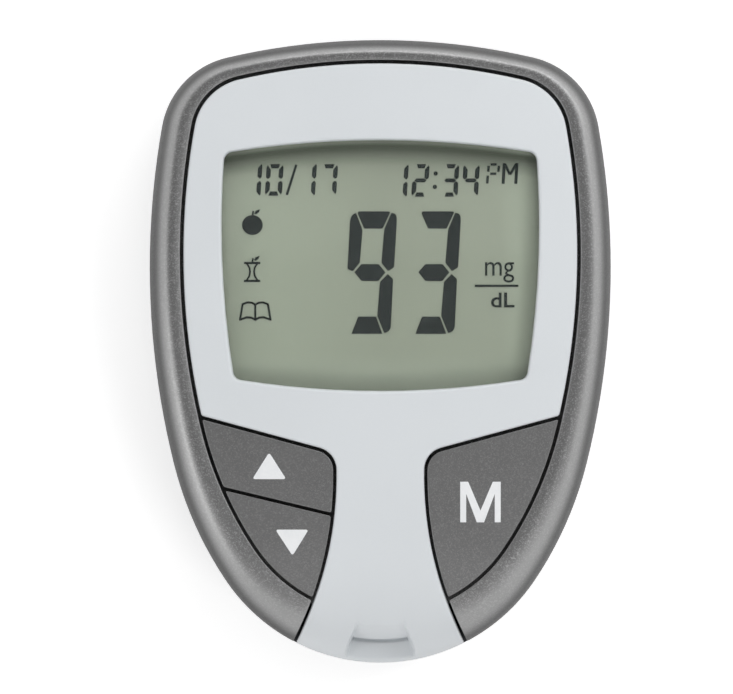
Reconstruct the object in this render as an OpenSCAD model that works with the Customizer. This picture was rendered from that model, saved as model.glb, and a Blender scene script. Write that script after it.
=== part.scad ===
// Handheld blood glucose meter, lying on its back with the display facing up.
// +Z is up, +Y points to the display end and -Y to the test strip end.
// The origin is under the middle of the body, on the plane that it rests on.

/* [Body] */
// Width across the body
body_w = 57; // [56:0.5:60]
// Length from the strip end to the display end
body_l = 77; // [76:0.5:80]
// Thickness from the back to the highest edge of the face
body_h = 23; // [22.5:0.25:24.5]
// Depth of the front case, from the face down to the line where the case halves meet
front_h = 13; // [12.75:0.25:13.5]
// Thickness of the case walls
wall = 1.8; // [1.6:0.1:2]
// Thickness of the back
back_t = 2; // [1.8:0.1:2.2]
// How far the flat back is set in from the display end
back_inset = 6; // [5.5:0.5:6.5]
// How far the flat back is set in from the strip end
back_nose_inset = 9; // [8:0.5:10]
// Height of the lip that centres the case halves
lip_h = 0.9; // [0.7:0.1:0.95]
// Thickness of that lip
lip_t = 0.8; // [0.7:0.1:0.9]
// Play between the lip and the front case
lip_gap = 0.1; // [0.05:0.05:0.15]

/* [Face] */
// Width of the rim at the display end
rim_top = 2.8; // [2.6:0.1:3.2]
// Width of the rim at the sides
rim_side = 4.05; // [3.75:0.05:4.25]
// Width that the rim would have at the strip end if it closed there
rim_low = 6; // [5.2:0.1:6.7]
// Width of the dark gap between the rim, the faceplate and the keys
gap = 0.4; // [0.3:0.05:0.5]
// Distance from the display end to the highest point of the face
crown_inset = 30.5; // [28.5:0.5:32.5]
// Radius of the face's crown along the body
crown_r_long = 220; // [200:10:300]
// Radius of the face's crown across the body
crown_r_wide = 300; // [260:10:400]
// Length of the stretch at the strip end where the face rolls down
nose_roll_l = 14.5; // [12.5:0.5:15.5]
// Radius of that roll
nose_roll_r = 30; // [28:1:40]
// Thickness of the faceplate at the window
plate_t = 2.2; // [2.1:0.05:2.3]
// Depth of the rebate under the faceplate that locates the lens
rebate = 0.6; // [0.4:0.05:0.8]
// Thickness of the faceplate's skirt
skirt_t = 1; // [0.9:0.05:1.1]
// Radius of the pins that locate the faceplate
pin_r = 0.8; // [0.7:0.05:0.9]

/* [Window] */
// Distance from the display end to the window
window_inset = 12.4; // [12.2:0.1:12.6]
// Width of the faceplate beside the window
window_side = 4.85; // [4.7:0.05:5.2]
// Thickness of the clear lens
lens_t = 1.2; // [1:0.05:1.25]
// How far the lens reaches past the window on each side
lens_margin = 1.2; // [1:0.1:1.3]
// Play round the lens in its rebate
lens_gap = 0.15; // [0.1:0.05:0.2]

/* [Keys] */
// Width of the neck between the keys
neck_w = 11.2; // [11:0.1:11.8]
// Radius of the neck's flared sides
neck_r = 45; // [43:1:48]
// Distance on the centre line from where the shoulders point down to the neck's narrowest point
neck_drop = 1.2; // [0.9:0.1:1.9]
// Distance on the centre line from the strip end to where the shoulders above the keys point
keys_l = 24.4; // [24:0.1:24.9]
// Distance on the centre line from the window to that point
shoulder_drop = 9.2; // [9:0.1:9.6]
// How much higher the shoulders are at the sides of the face than at that point
shoulder_rise = 6.64; // [6.36:0.04:6.64]
// Distance on the centre line from that point to where the split between the left keys points
split_drop = 7.4; // [6.9:0.1:8.4]
// Slope of the split between the left keys
split_angle = 13.5; // [12:0.5:15]
// Radius of the keys' inner corner
key_corner_r = 2.6; // [2:0.1:3]
// How far the keys stand below the face
key_drop = 0.15; // [0.1:0.05:0.3]
// Wall of a hollow key
key_wall = 1.2; // [1:0.1:1.3]
// Travel of a key
key_travel = 0.5; // [0.3:0.05:0.55]
// Radius of the post under a key
stem_r = 1.5; // [1.2:0.1:1.6]
// Radius of a snap dome
dome_r = 2.6; // [2.4:0.1:2.8]

/* [Deck] */
// Depth of the deck that the faceplate stands on, below the face
deck_drop = 6; // [5.9:0.1:6.2]
// Thickness of the deck
deck_t = 1.4; // [1.3:0.1:1.5]
// Clear space round the keys and the display holder in the deck
slide_gap = 0.2; // [0.15:0.05:0.25]

/* [Circuit board] */
// Height of the circuit board above the line where the case halves meet
board_rise = 1; // [1:0.05:1.15]
// Thickness of the circuit board
board_t = 1; // [0.8:0.1:1]
// Space between the case wall and the circuit board
board_gap = 0.7; // [0.6:0.1:1]

/* [Display] */
// How far the display glass reaches past the window at the sides
lcd_side = 0.6; // [0.5:0.05:0.7]
// How far it reaches past the window at the display end
lcd_top = 1.3; // [1.2:0.05:1.4]
// How far it reaches past the window at the strip end
lcd_low = 0.4; // [0.3:0.05:0.5]
// Width of the contact ledge on the front glass
lcd_ledge = 1.6; // [1.5:0.05:1.7]
// Thickness of each display glass
glass_t = 0.7; // [0.55:0.05:0.75]
// Thickness of each polarizing film
film_t = 0.2; // [0.15:0.05:0.25]
// Air between the display and the lens
lcd_air = 0.3; // [0.2:0.05:0.5]
// Wall of the display holder
holder_t = 0.8; // [0.7:0.05:0.85]
// Thickness of the rubber contact strip
zebra_t = 1.2; // [1:0.05:1.25]

/* [Battery] */
// Diameter of a coin cell
cell_d = 20; // [19.8:0.1:20.1]
// Height of a coin cell
cell_h = 3.2; // [3:0.1:3.2]
// Space between the two cells
cell_space = 1; // [0.6:0.1:1.2]
// Distance from the display end to the middles of the cells
cell_inset = 25.5; // [25:0.1:26]
// Space around a cell in its pocket
cell_gap = 0.25; // [0.2:0.05:0.3]
// Room over a cell for its spring
spring_room = 0.95; // [0.9:0.05:1.1]
// Thickness of the tray that the pockets hang from
tray_t = 1.2; // [1:0.1:1.3]
// How far the door reaches past the cells at the sides
door_clear = 1.1; // [1:0.05:1.3]
// Width of the flat back that is left beside the battery door
door_side = 0.9; // [0.8:0.1:1]
// How far the door reaches past the cells towards the strip end
door_margin = 3; // [2.5:0.1:3.5]
// Thickness of the battery door
door_t = 2; // [1.8:0.05:2.1]
// Width of the tongue along each side of the door
tongue_w = 0.9; // [0.7:0.05:1]
// Thickness of the lip that holds the door's tongue
rail_t = 0.9; // [0.8:0.05:1]
// Running gap around the battery door
door_gap = 0.15; // [0.12:0.01:0.2]
// Number of ridges on the door
ridges = 6; // [3:1:8]
// Distance from ridge to ridge
ridge_pitch = 1.8; // [1.4:0.1:2.2]

/* [Strip port] */
// Width of a test strip's slot
slot_w = 6.8; // [6.4:0.1:7]
// Height of that slot
slot_h = 0.9; // [0.8:0.05:1]
// Height of the strip port's floor above the circuit board
slot_rise = 1.1; // [1.05:0.05:1.2]
// Width of the notch at its top edge
notch_top_w = 6.6; // [6.2:0.1:7]
// Width of the notch at the strip end
notch_end_w = 10.6; // [10.2:0.1:11]
// Depth of the notch from the strip end, at the face
notch_l = 4.6; // [4.4:0.05:4.8]
// How much of that depth the sloped back wall takes
notch_slope = 1.3; // [1.1:0.05:1.4]
// Distance from the strip end to the strip connector
connector_inset = 4.2; // [4:0.1:4.4]
// Width of the strip connector
connector_w = 10.4; // [10:0.1:10.6]
// Length of the strip connector
connector_l = 9.4; // [9:0.1:9.6]
// Height of the strip connector
connector_h = 2.7; // [2.6:0.05:2.8]
// Number of strip contacts
contacts = 5; // [3:1:5]
// Distance from contact to contact
contact_pitch = 1.25; // [1.2:0.05:1.3]

/* [Data jack] */
// Diameter of the jack's bore for a 2.5 mm plug
jack_bore = 2.6; // [2.56:0.02:2.7]
// Depth of that bore
jack_depth = 10; // [9:0.5:11]
// Outer diameter of the jack's barrel
jack_barrel = 4.4; // [4.2:0.1:4.5]
// Depth of the jack's mouth below the widest line of the side
jack_sink = 0.8; // [0.8:0.05:1]
// Distance from the battery door to the jack along the body
jack_y_gap = 9; // [8.5:0.1:9.5]
// Depth of the jack's axis below the circuit board
jack_z_gap = 3.8; // [3.75:0.05:3.9]

/* [Screws] */
// Diameter of a case screw
screw_d = 2; // [1.8:0.1:2.2]
// Diameter of a case screw's head
screw_head_d = 3.8; // [3.5:0.1:4]
// Height of a case screw's head
screw_head_h = 1.3; // [1.1:0.1:1.4]
// Height of the seat of a screw head
screw_seat_z = 4.4; // [4.2:0.1:4.8]
// Wall of a screw post
post_t = 1.2; // [1:0.1:1.4]
// Distance from the side of the body to an upper screw
screw_side = 13; // [12.5:0.1:13.5]
// Distance from the display end to the upper screws
screw_top_inset = 7; // [6.9:0.1:7.5]
// Distance from the strip end to the lower screw
screw_low_inset = 18; // [17.5:0.1:18.5]

/* [Hidden] */

eps = 0.01;
big = 100;

// Outline shapes: headings at which one tangent arc gives way to the next, from the
// top centre round the right side to the bottom centre, and the arcs' radii.
BODY_TURNS = [0, 13, 80, 90, 104, 124, 180];
BODY_STEPS = [5, 9, 3, 5, 5, 9];
OUTER_R = [84.2, 10.6, 100.4, 100.4, 45.7, 23];
FACE_R = [77.4, 7.4, 90.7, 90.7, 45.5, 18.5];
WINDOW_TURNS = [0, 9, 86, 90, 99, 171, 180];
WINDOW_STEPS = [4, 6, 2, 4, 6, 4];
WINDOW_R = [117, 1.2, 116, 116, 1.1, 110.2];
WIDEST = 3; // the arc that starts at a heading of 90 degrees

// Loft of the front and the back: rings up the rim and rings across the face.
rim_rings = 9;
face_rings = 5;
back_rings = 8;
rim_power = 3.5;
back_power = 2.1;

end_y = body_l / 2;                          // display end; the strip end is at -end_y
part_z = body_h - front_h;                   // the case halves meet here
face_w = body_w - 2 * rim_side;
face_l = body_l - rim_top - rim_low;
face_top = end_y - rim_top;
window_w = face_w - 2 * window_side;
window_l = body_l - window_inset - shoulder_drop - keys_l;
window_y = end_y - window_inset - window_l / 2;
window_low = window_y - window_l / 2;
crown_y = end_y - crown_inset;
nose_roll_y = nose_roll_l - end_y;
// The crown lies over the window, so the window's lower edge is the highest edge left.
crown_z = body_h + (crown_y - window_low) * (crown_y - window_low) / (2 * crown_r_long);

plate_z = body_h - plate_t;                  // underside of the faceplate at the window
deck_z = body_h - deck_drop;
deck_under = deck_z - deck_t;
board_z = part_z + board_rise;
board_top = board_z + board_t;

lens_z = plate_z - lens_t;
lcd_w = window_w + 2 * lcd_side;
lcd_top_y = window_y + window_l / 2 + lcd_top;
lcd_low_y = window_low - lcd_low;
ledge_y = lcd_low_y - lcd_ledge;             // lower edge of the front glass
lcd_z = lens_z - lcd_air - film_t;           // top of the front glass
rear_glass_z = lcd_z - glass_t;              // top of the rear glass
reflector_z = rear_glass_z - glass_t;        // top of the reflector
holder_seat_z = reflector_z - film_t;        // the reflector rests here
holder_gap = 0.1;                            // play round the display in its holder
holder_shelf = 2;                            // width of the shelf under the reflector

shoulder_y = keys_l - end_y;
shoulder_slope = shoulder_rise / (face_w / 2);
neck_y = shoulder_y - neck_drop;                   // the neck's narrowest point
split_y = shoulder_y - split_drop;
nose_y = 7.2 - end_y;                        // the faceplate's nose block starts here
neck_end_y = 11.5 - end_y;                   // below this the neck runs on past the face line
flange_t = 0.9;                              // tabs that hold a key under the deck
flange_reach = 0.9;
flange_w = 4;
flange_z = deck_under - slide_gap - flange_t;
pocket_low_z = deck_z + 0.4;                 // top of a key's pocket where the face is low
pocket_high_z = deck_z + 2;                  // and where it is high
dome_h = key_travel + 0.15;
dome_t = 0.1;
stem_z = board_top + dome_h + 0.05;
up_dome_xy = [-neck_w / 2 - 7, shoulder_y - 0.5];
down_dome_xy = [-neck_w / 2 - 5.6, split_y - 0.9];
memory_dome_xy = [neck_w / 2 + 6.8, shoulder_y - 3.5];

cell_y = end_y - cell_inset;
cell_pitch = cell_d + cell_space;
cell_z = door_t + 0.1;
door_w = cell_pitch + cell_d + 2 * door_clear;
back_side = (body_w - door_w) / 2 - door_side; // the flat back is set in this far from the sides
door_y = cell_y - cell_d / 2 - door_margin;
tray_z = door_t + door_gap;                  // underside of the battery tray
pocket_r = cell_d / 2 + cell_gap;
pocket_top = tray_z + cell_h + spring_room;
tray_roof = pocket_top + tray_t;
spring_t = 0.25;
spring_w = 2;
spring_y = -7.2;                             // the spring's tail, from the middle of its cell
plus_w = 4;

slot_z = board_top + slot_rise;
connector_front = connector_inset - end_y;
connector_back = connector_front + connector_l;
contact_w = 0.5;
board_tongue_w = connector_w + 1.4;
jack_y = door_y - jack_y_gap;
jack_z = board_z - jack_z_gap;
jack_half = 3;                               // half the width of the jack's block
jack_wall = 1.8;                             // behind the jack's bore
jack_gap = 0.1;                              // round the barrel
jack_clear = 0.14;                           // from the jack's block to the wall

screw_low_y = screw_low_inset - end_y;
label_w = 30;
label_margin = 3;                            // from the door to the label
label_clear = 5.6;                           // from the label to the lower screw's head
label_l = door_y - screw_low_y - screw_head_d / 2 - label_margin - label_clear;
label_y = door_y - label_margin - label_l / 2;
label_depth = 0.2;
label_gap = 0.4;

pin_gap = 0.05;
thread_gap = 0.03;
screw_x = body_w / 2 - screw_side;
screw_places = [
    [-screw_x, end_y - screw_top_inset], [screw_x, end_y - screw_top_inset], [0, screw_low_y]
];
pin_places = [
    [-face_w / 2 + 0.9, cell_y + 1], [face_w / 2 - 0.9, cell_y + 1],
    [-11, face_top - 2.1], [11, face_top - 2.1]
];

// ---------- outlines ----------

function arc_step(r, a, b) = r * [sin(b) - sin(a), cos(b) - cos(a)];
function arc_start(turns, radii, k) =
    k == 0 ? [0, 0] : arc_start(turns, radii, k - 1) + arc_step(radii[k - 1], turns[k - 1], turns[k]);
function half_outline(turns, radii, steps) = [
    for (k = [0:len(radii) - 1]) for (i = [0:steps[k] - 1])
        arc_start(turns, radii, k)
            + arc_step(radii[k], turns[k], turns[k] + (turns[k + 1] - turns[k]) * i / steps[k])
];
// A closed outline of tangent arcs, w wide and l long, whose upper end is at y = top.
function outline(turns, radii, steps, w, l, top) =
    let (
        raw = half_outline(turns, radii, steps),
        sx = w / 2 / arc_start(turns, radii, WIDEST)[0],
        sy = -l / arc_start(turns, radii, len(radii))[1],
        right = [for (p = raw) [p[0] * sx, top + p[1] * sy]],
        n = len(right)
    )
    concat(right, [[0, top - l]], [for (i = [n - 1:-1:1]) [-right[i][0], right[i][1]]]);

function grown(radii, d) = [for (r = radii) r + d];
function mix(a, b, s) = a * (1 - s) + b * s;
// The same outlines, grown outwards by d.
function outer_line(d = 0) =
    outline(BODY_TURNS, grown(OUTER_R, d), BODY_STEPS, body_w + 2 * d, body_l + 2 * d, end_y + d);
function face_line(d = 0) =
    outline(BODY_TURNS, grown(FACE_R, d), BODY_STEPS, face_w + 2 * d, face_l + 2 * d, face_top + d);
function window_line(d = 0) =
    outline(WINDOW_TURNS, grown(WINDOW_R, d), WINDOW_STEPS, window_w + 2 * d, window_l + 2 * d,
        window_y + window_l / 2 + d);
function back_line(d = 0) =
    outline(BODY_TURNS, grown(OUTER_R, d - back_inset), BODY_STEPS, body_w - 2 * back_side + 2 * d,
        body_l - back_inset - back_nose_inset + 2 * d, end_y - back_inset + d);
// Half width of an outline at a place along the body.
function half_at(ring, y) =
    let (
        hits = [for (i = [0:len(ring) / 2 - 1]) if (ring[i][1] >= y && ring[i + 1][1] < y) i],
        a = ring[hits[0]],
        b = ring[hits[0] + 1]
    )
    mix(a[0], b[0], (a[1] - y) / (a[1] - b[1]));
function outer_x(y) = half_at(outer_line(), y);
function between(a, b, s) = [for (i = [0:len(a) - 1]) mix(a[i], b[i], s)];

// ---------- heights ----------

// Height of the face over a point, before the rim rounds it off.
function crown(p) =
    let (dy = p[1] - crown_y, roll = max(0, nose_roll_y - p[1]))
    crown_z - dy * dy / (2 * crown_r_long) - p[0] * p[0] / (2 * crown_r_wide)
        - roll * roll / (2 * nose_roll_r);
// A rounded edge: how far in it has come (0 to 1) at a share h (0 to 1) of its height.
function inset_at(h, power) = 1 - pow(1 - pow(min(1, max(0, h)), power), 1 / power);
function edge_in(t, power) = 1 - pow(cos(t), 2 / power);
function edge_up(t, power) = pow(sin(t), 2 / power);
function lift(ring, z) = [for (p = ring) [p[0], p[1], z]];
function front_ring(t, drop) = [
    for (p = between(outer_line(), face_line(), edge_in(t, rim_power)))
        [p[0], p[1], part_z + (crown(p) - drop - part_z) * edge_up(t, rim_power)]
];
function face_ring(v, drop) = [
    for (p = face_line()) let (q = [p[0] * v, crown_y + (p[1] - crown_y) * v]) [q[0], q[1], crown(q) - drop]
];
function back_ring(t) =
    lift(between(outer_line(), back_line(), edge_in(t, back_power)), part_z * (1 - edge_up(t, back_power)));
// The inside of the rear case at height z, set in by the wall.
function rear_inside(z, d) =
    let (s = inset_at((part_z - z) / part_z, back_power)) between(outer_line(-d), back_line(-d), s);
function front_inside(z, d) =
    let (s = inset_at((z - part_z) / (crown_z - part_z - 4), rim_power))
    between(outer_line(-d), face_line(-d), s);

// ---------- general shapes ----------

// A closed solid through rings of equal length, listed from the bottom up.
module skin(rings, low, high) {
    n = len(rings[0]);
    m = len(rings);
    points = concat([for (r = rings) for (p = r) p], [low, high]);
    sides = [
        for (k = [0:m - 2]) for (i = [0:n - 1])
            let (a = k * n + i, b = k * n + (i + 1) % n, c = a + n, d = b + n)
            each [[a, b, c], [b, d, c]]
    ];
    under = [for (i = [0:n - 1]) [n * m, (i + 1) % n, i]];
    over = [for (i = [0:n - 1]) [n * m + 1, (m - 1) * n + i, (m - 1) * n + (i + 1) % n]];
    polyhedron(points = points, faces = concat(under, sides, over), convexity = 6);
}
module front_envelope(drop = 0) {
    rings = concat(
        [for (k = [0:rim_rings]) front_ring(90 * k / rim_rings, drop)],
        [for (k = [face_rings - 1:-1:1]) face_ring(k / face_rings, drop)]
    );
    skin(rings, [0, 0, part_z], [0, crown_y, crown([0, crown_y]) - drop]);
}
module rear_envelope() {
    rings = [for (k = [back_rings:-1:0]) back_ring(90 * k / back_rings)];
    skin(rings, [0, 0, 0], [0, 0, part_z]);
}
module slab(z0, z1) {
    translate([0, 0, z0]) linear_extrude(z1 - z0) children();
}
module block(low, high) {
    translate(low) cube(high - low);
}
module rod(xy, r, z0, z1) {
    translate([xy[0], xy[1], z0]) cylinder(r = r, h = z1 - z0, $fn = 48);
}
module both_sides() {
    children();
    mirror([1, 0, 0]) children();
}

// ---------- plan shapes of the face ----------

// Everything to the right of the neck and below the shoulder, grown by d.
module side_zone(d = 0) {
    offset(r = key_corner_r + d, $fn = 40) offset(delta = -key_corner_r) intersection() {
        translate([neck_w / 2 + neck_r, neck_y]) circle(r = neck_r, $fn = 180);
        polygon([
            [0, shoulder_y], [big, shoulder_y + big * shoulder_slope],
            [big, -big], [0, -big]
        ]);
    }
}
module side_zones(d = 0) {
    both_sides() side_zone(d);
}
// The band between the keys' zones, from y = top down to the strip end, grown by d.
module neck_band(top, d = 0) {
    difference() {
        translate([-1.5 * neck_w, -body_l]) square([3 * neck_w, body_l + top]);
        side_zones(-d);
    }
}
module plate_plan(d = 0) {
    difference() {
        union() {
            polygon(face_line(d));
            neck_band(neck_end_y, d);
        }
        side_zones(-d);
    }
}
module key_area(d = 0) {
    offset(delta = d) intersection() {
        side_zone();
        polygon(face_line());
    }
}
module split_side(upper, d) {
    s = upper ? 1 : -1;
    translate([0, split_y - s * d / cos(split_angle)])
        rotate(split_angle) translate([-big, upper ? 0 : -big]) square([2 * big, big]);
}
module memory_plan(d = 0) {
    key_area(d);
}
module up_plan(d = 0) {
    mirror([1, 0]) intersection() {
        key_area(d);
        split_side(true, d);
    }
}
module down_plan(d = 0) {
    mirror([1, 0]) intersection() {
        key_area(d);
        split_side(false, d);
    }
}
module holder_plan(d = 0) {
    low = ledge_y - holder_t + holder_gap;
    difference() {
        translate([-lcd_w / 2 - holder_t - d, low - d])
            square([lcd_w + 2 * holder_t + 2 * d, lcd_top_y + holder_t - low + 2 * d]);
        side_zones(gap / 2 + skirt_t + slide_gap + holder_gap - d);
    }
}

// ---------- case ----------

// Heights at which the rear case's cavity widens.
CAVITY_STEPS = [for (s = [0, 0.175, 0.4, 0.7, 1]) mix(back_t, part_z, s)];
// Half width at y of the cavity at height z.
function cavity_half(z, y) =
    half_at(rear_inside(max([for (s = CAVITY_STEPS) if (s <= z + eps) s]), wall), y);

module rear_cavity() {
    for (i = [0:len(CAVITY_STEPS) - 2])
        slab(CAVITY_STEPS[i], CAVITY_STEPS[i + 1] + 2 * eps) polygon(rear_inside(CAVITY_STEPS[i], wall));
}
module cell_sites() {
    for (s = [-1, 1]) translate([s * cell_pitch / 2, cell_y]) children();
}
module tray() {
    block([-door_w / 2 - 3, door_y - 1.6, 0], [door_w / 2 + 3, body_l, tray_z + tray_t]);
    cell_sites() cylinder(r = pocket_r + tray_t, h = tray_roof, $fn = 96);
}
module door_recess() {
    half = door_w / 2 + door_gap;
    block([-half, door_y - door_gap, -1], [half, body_l, tray_z]);
    block([-half - tongue_w, door_y - door_gap, rail_t], [half + tongue_w, body_l, tray_z]);
}
module screw_post(xy) {
    rod(xy, screw_head_d / 2 + post_t, 0, screw_seat_z + post_t);
    rod(xy, screw_d / 2 + post_t, 0, part_z);
}
module rear_case() {
    color([0.22, 0.22, 0.23]) difference() {
        union() {
            difference() {
                rear_envelope();
                difference() {
                    rear_cavity();
                    tray();
                    for (p = screw_places) screw_post(p);
                }
                door_recess();
            }
            for (p = screw_places) rod(p, screw_d / 2 + post_t, part_z - 1, board_z);
            case_lip();
        }
        for (p = screw_places) {
            rod(p, screw_head_d / 2 + 0.2, -1, screw_seat_z);
            rod(p, screw_d / 2 + 0.1, -1, board_z + 1);
        }
        cell_sites() {
            translate([0, 0, back_t / 2]) cylinder(r = pocket_r, h = pocket_top - back_t / 2, $fn = 96);
            contact_slots();
        }
        translate([0, jack_y, jack_z]) rotate([0, 90, 0])
            cylinder(d = jack_barrel + 2 * jack_gap, h = body_w, $fn = 48);
        label_recess();
    }
}
// Ring inside the front case's wall, open at the strip end where the nose block stands.
module case_lip() {
    difference() {
        slab(part_z - 1, part_z + lip_h) difference() {
            polygon(outer_line(lip_t - wall - lip_gap));
            polygon(outer_line(-wall));
        }
        slab(part_z, part_z + lip_h + 1) neck_band(nose_y, gap / 2 + wall);
    }
}
module contact_slots() {
    play = 0.25;
    block([-spring_w / 2 - play, spring_y - play, pocket_top - 1],
        [spring_w / 2 + play, spring_y + spring_t + play, tray_roof + 1]);
    block([-plus_w / 2 - play, cell_d / 2 - 0.5, tray_z + 0.4],
        [plus_w / 2 + play, cell_d / 2 + 0.6, tray_roof + 1]);
}
module label_recess() {
    w = label_w + label_gap;
    l = label_l + label_gap;
    block([-w / 2, label_y - l / 2, -1], [w / 2, label_y + l / 2, label_depth]);
}

module front_case() {
    color([0.42, 0.42, 0.43]) difference() {
        union() {
            difference() {
                front_envelope();
                slab(deck_z, crown_z + 1) {
                    polygon(face_line(gap / 2));
                    neck_band(neck_end_y, gap / 2);
                }
                slab(part_z - 1, body_h) neck_band(nose_y + gap / 2, gap / 2);
                slab(part_z - 1, part_z + lip_h + lip_gap) polygon(outer_line(lip_t - wall));
                slab(part_z - 1, part_z + 2.6) polygon(front_inside(part_z + 2.6, wall));
                slab(part_z + 2.5, deck_under) polygon(front_inside(deck_under, wall));
            }
            for (p = screw_places) rod(p, screw_d / 2 + post_t, board_top, deck_under + eps);
        }
        slab(deck_under - 1, deck_z + 1) {
            up_plan(-gap / 2 + slide_gap);
            down_plan(-gap / 2 + slide_gap);
            memory_plan(-gap / 2 + slide_gap);
            holder_plan(slide_gap);
        }
        for (p = screw_places) rod(p, screw_d / 2 + thread_gap, board_top - 1, deck_z - 0.6);
        for (p = pin_places) rod(p, pin_r + pin_gap, deck_under - 1, deck_z + 1);
    }
}

// Cuts the notch that leads a strip to its slot: flared sides, a flat floor and a sloped back.
module notch() {
    back = notch_l - end_y;
    foot = back - notch_slope;
    past = -end_y - 4;
    top = crown([0, back]) + 0.6;
    hull() {
        for (z = [slot_z, slot_z + slot_h]) notch_layer(z, slot_w / 2, foot, notch_end_w / 2, past);
        notch_layer(top, notch_top_w / 2, back + 0.1, notch_end_w / 2 + 1, past);
    }
}
module notch_layer(z, half, y, past_half, past_y) {
    slab(z, z + eps) polygon([[-half, y], [half, y], [past_half, past_y], [-past_half, past_y]]);
}
module faceplate() {
    color([0.84, 0.86, 0.88]) difference() {
        intersection() {
            front_envelope();
            union() {
                slab(deck_z, crown_z + 1) plate_plan(-gap / 2);
                slab(part_z, crown_z + 1) neck_band(nose_y, -gap / 2);
                for (p = pin_places) rod(p, pin_r, deck_under, deck_z + 1);
            }
        }
        slab(deck_z - 1, plate_z - rebate) offset(delta = -skirt_t) difference() {
            plate_plan(-gap / 2);
            translate([-big, -2 * big + neck_y]) square([2 * big, 2 * big]);
        }
        slab(plate_z - rebate - 1, plate_z) polygon(window_line(lens_margin + lens_gap));
        slab(deck_z - 1, pocket_low_z + 0.8) offset(delta = -skirt_t) intersection() {
            plate_plan(-gap / 2);
            translate([-neck_w, nose_y + skirt_t]) square([2 * neck_w, neck_y - nose_y]);
        }
        slab(plate_z - 1, crown_z + 1) polygon(window_line());
        block([-connector_w / 2 - 1, connector_front - 0.1, part_z - 1],
            [connector_w / 2 + 1, nose_y + 1, board_top + connector_h + 0.2]);
        block([-slot_w / 2, 2 - end_y, slot_z], [slot_w / 2, connector_front + 1, slot_z + slot_h]);
        notch();
    }
}

module display_lens() {
    color([0.85, 0.9, 0.88, 0.4]) slab(lens_z, plate_z) polygon(window_line(lens_margin));
}

// ---------- keys ----------

// A hollow key of the given plan, with a post over its dome and tabs that hold it under the
// deck on a band at tab_y. Its pocket is deeper above y = deep_y.
module hollow_key(dome_xy, tab_y, deep_y) {
    color([0.38, 0.38, 0.39]) {
        difference() {
            union() {
                intersection() {
                    front_envelope(key_drop);
                    slab(flange_z, body_h) children(0);
                }
                slab(flange_z, flange_z + flange_t) intersection() {
                    offset(delta = flange_reach) children(0);
                    translate([-big, tab_y - flange_w / 2]) square([2 * big, flange_w]);
                }
            }
            slab(flange_z - 1, pocket_low_z) offset(delta = -key_wall) children(0);
            slab(pocket_low_z - 1, pocket_high_z) intersection() {
                offset(delta = -key_wall) children(0);
                translate([-big, deep_y]) square([2 * big, big]);
            }
        }
        rod(dome_xy, stem_r, stem_z, pocket_high_z + eps);
    }
}
module up_key() {
    hollow_key(up_dome_xy, shoulder_y + 0.1, -big) up_plan(-gap / 2);
}
module down_key() {
    hollow_key(down_dome_xy, split_y - 1, split_y - 3.5) down_plan(-gap / 2);
}
module memory_key() {
    hollow_key(memory_dome_xy, shoulder_y - 2.9, split_y - 3.5) memory_plan(-gap / 2);
}
// A snap dome: a shallow cap of sheet metal that stands on its rim.
module dome(xy) {
    r = (dome_r * dome_r + dome_h * dome_h) / (2 * dome_h);
    color([0.8, 0.78, 0.7]) translate([xy[0], xy[1], board_top]) rotate_extrude($fn = 48) intersection() {
        difference() {
            translate([0, dome_h - r]) circle(r = r, $fn = 360);
            translate([0, dome_h - r]) circle(r = r - dome_t, $fn = 360);
        }
        square([dome_r, dome_h + 1]);
    }
}

// ---------- display ----------

module lcd_sheet(z, t, low) {
    block([-lcd_w / 2, low, z], [lcd_w / 2, lcd_top_y, z + t]);
}
module lcd_front_polarizer() {
    color([0.62, 0.66, 0.58, 0.9]) lcd_sheet(lcd_z, film_t, lcd_low_y);
}
module lcd_front_glass() {
    color([0.7, 0.75, 0.7, 0.6]) lcd_sheet(rear_glass_z, glass_t, ledge_y);
}
module lcd_rear_glass() {
    color([0.66, 0.72, 0.66, 0.6]) lcd_sheet(reflector_z, glass_t, lcd_low_y);
}
module lcd_reflector() {
    color([0.6, 0.64, 0.56]) lcd_sheet(holder_seat_z, film_t, lcd_low_y);
}
module zebra_seat(d) {
    end = 1.5;
    y = (lcd_low_y + ledge_y) / 2;
    translate([-lcd_w / 2 + end - d, y - zebra_t / 2 - d]) square([lcd_w - 2 * end + 2 * d, zebra_t + 2 * d]);
}
module lcd_area(low, d) {
    translate([-lcd_w / 2 - d, low - d]) square([lcd_w + 2 * d, lcd_top_y - low + 2 * d]);
}
module lcd_holder() {
    color([0.9, 0.9, 0.88]) difference() {
        slab(board_top, lens_z - holder_gap) holder_plan();
        slab(holder_seat_z, body_h) lcd_area(lcd_low_y, holder_gap);
        slab(rear_glass_z, body_h) lcd_area(ledge_y, holder_gap);
        slab(board_top - 1, body_h) zebra_seat(holder_gap);
        slab(board_top - 1, holder_seat_z - holder_t) lcd_area(lcd_low_y, -holder_shelf / 2);
        slab(board_top - 1, body_h) lcd_area(lcd_low_y, -holder_shelf);
    }
}
module zebra_strip() {
    color([0.9, 0.75, 0.8]) slab(board_top, rear_glass_z) zebra_seat(0);
}

// ---------- circuit board ----------

module circuit_board() {
    inset = wall + board_gap;
    color([0.05, 0.35, 0.2]) difference() {
        slab(board_z, board_top) difference() {
            polygon(outer_line(-inset));
            translate([-big, connector_front - big + 0.1]) square([2 * big, big]);
            difference() {
                neck_band(nose_y + 0.3, gap / 2 + 0.3);
                translate([-board_tongue_w / 2, -big]) square([board_tongue_w, big]);
            }
        }
        for (p = screw_places) rod(p, screw_d / 2 + 0.1, board_z - 1, board_top + 1);
    }
}
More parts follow.
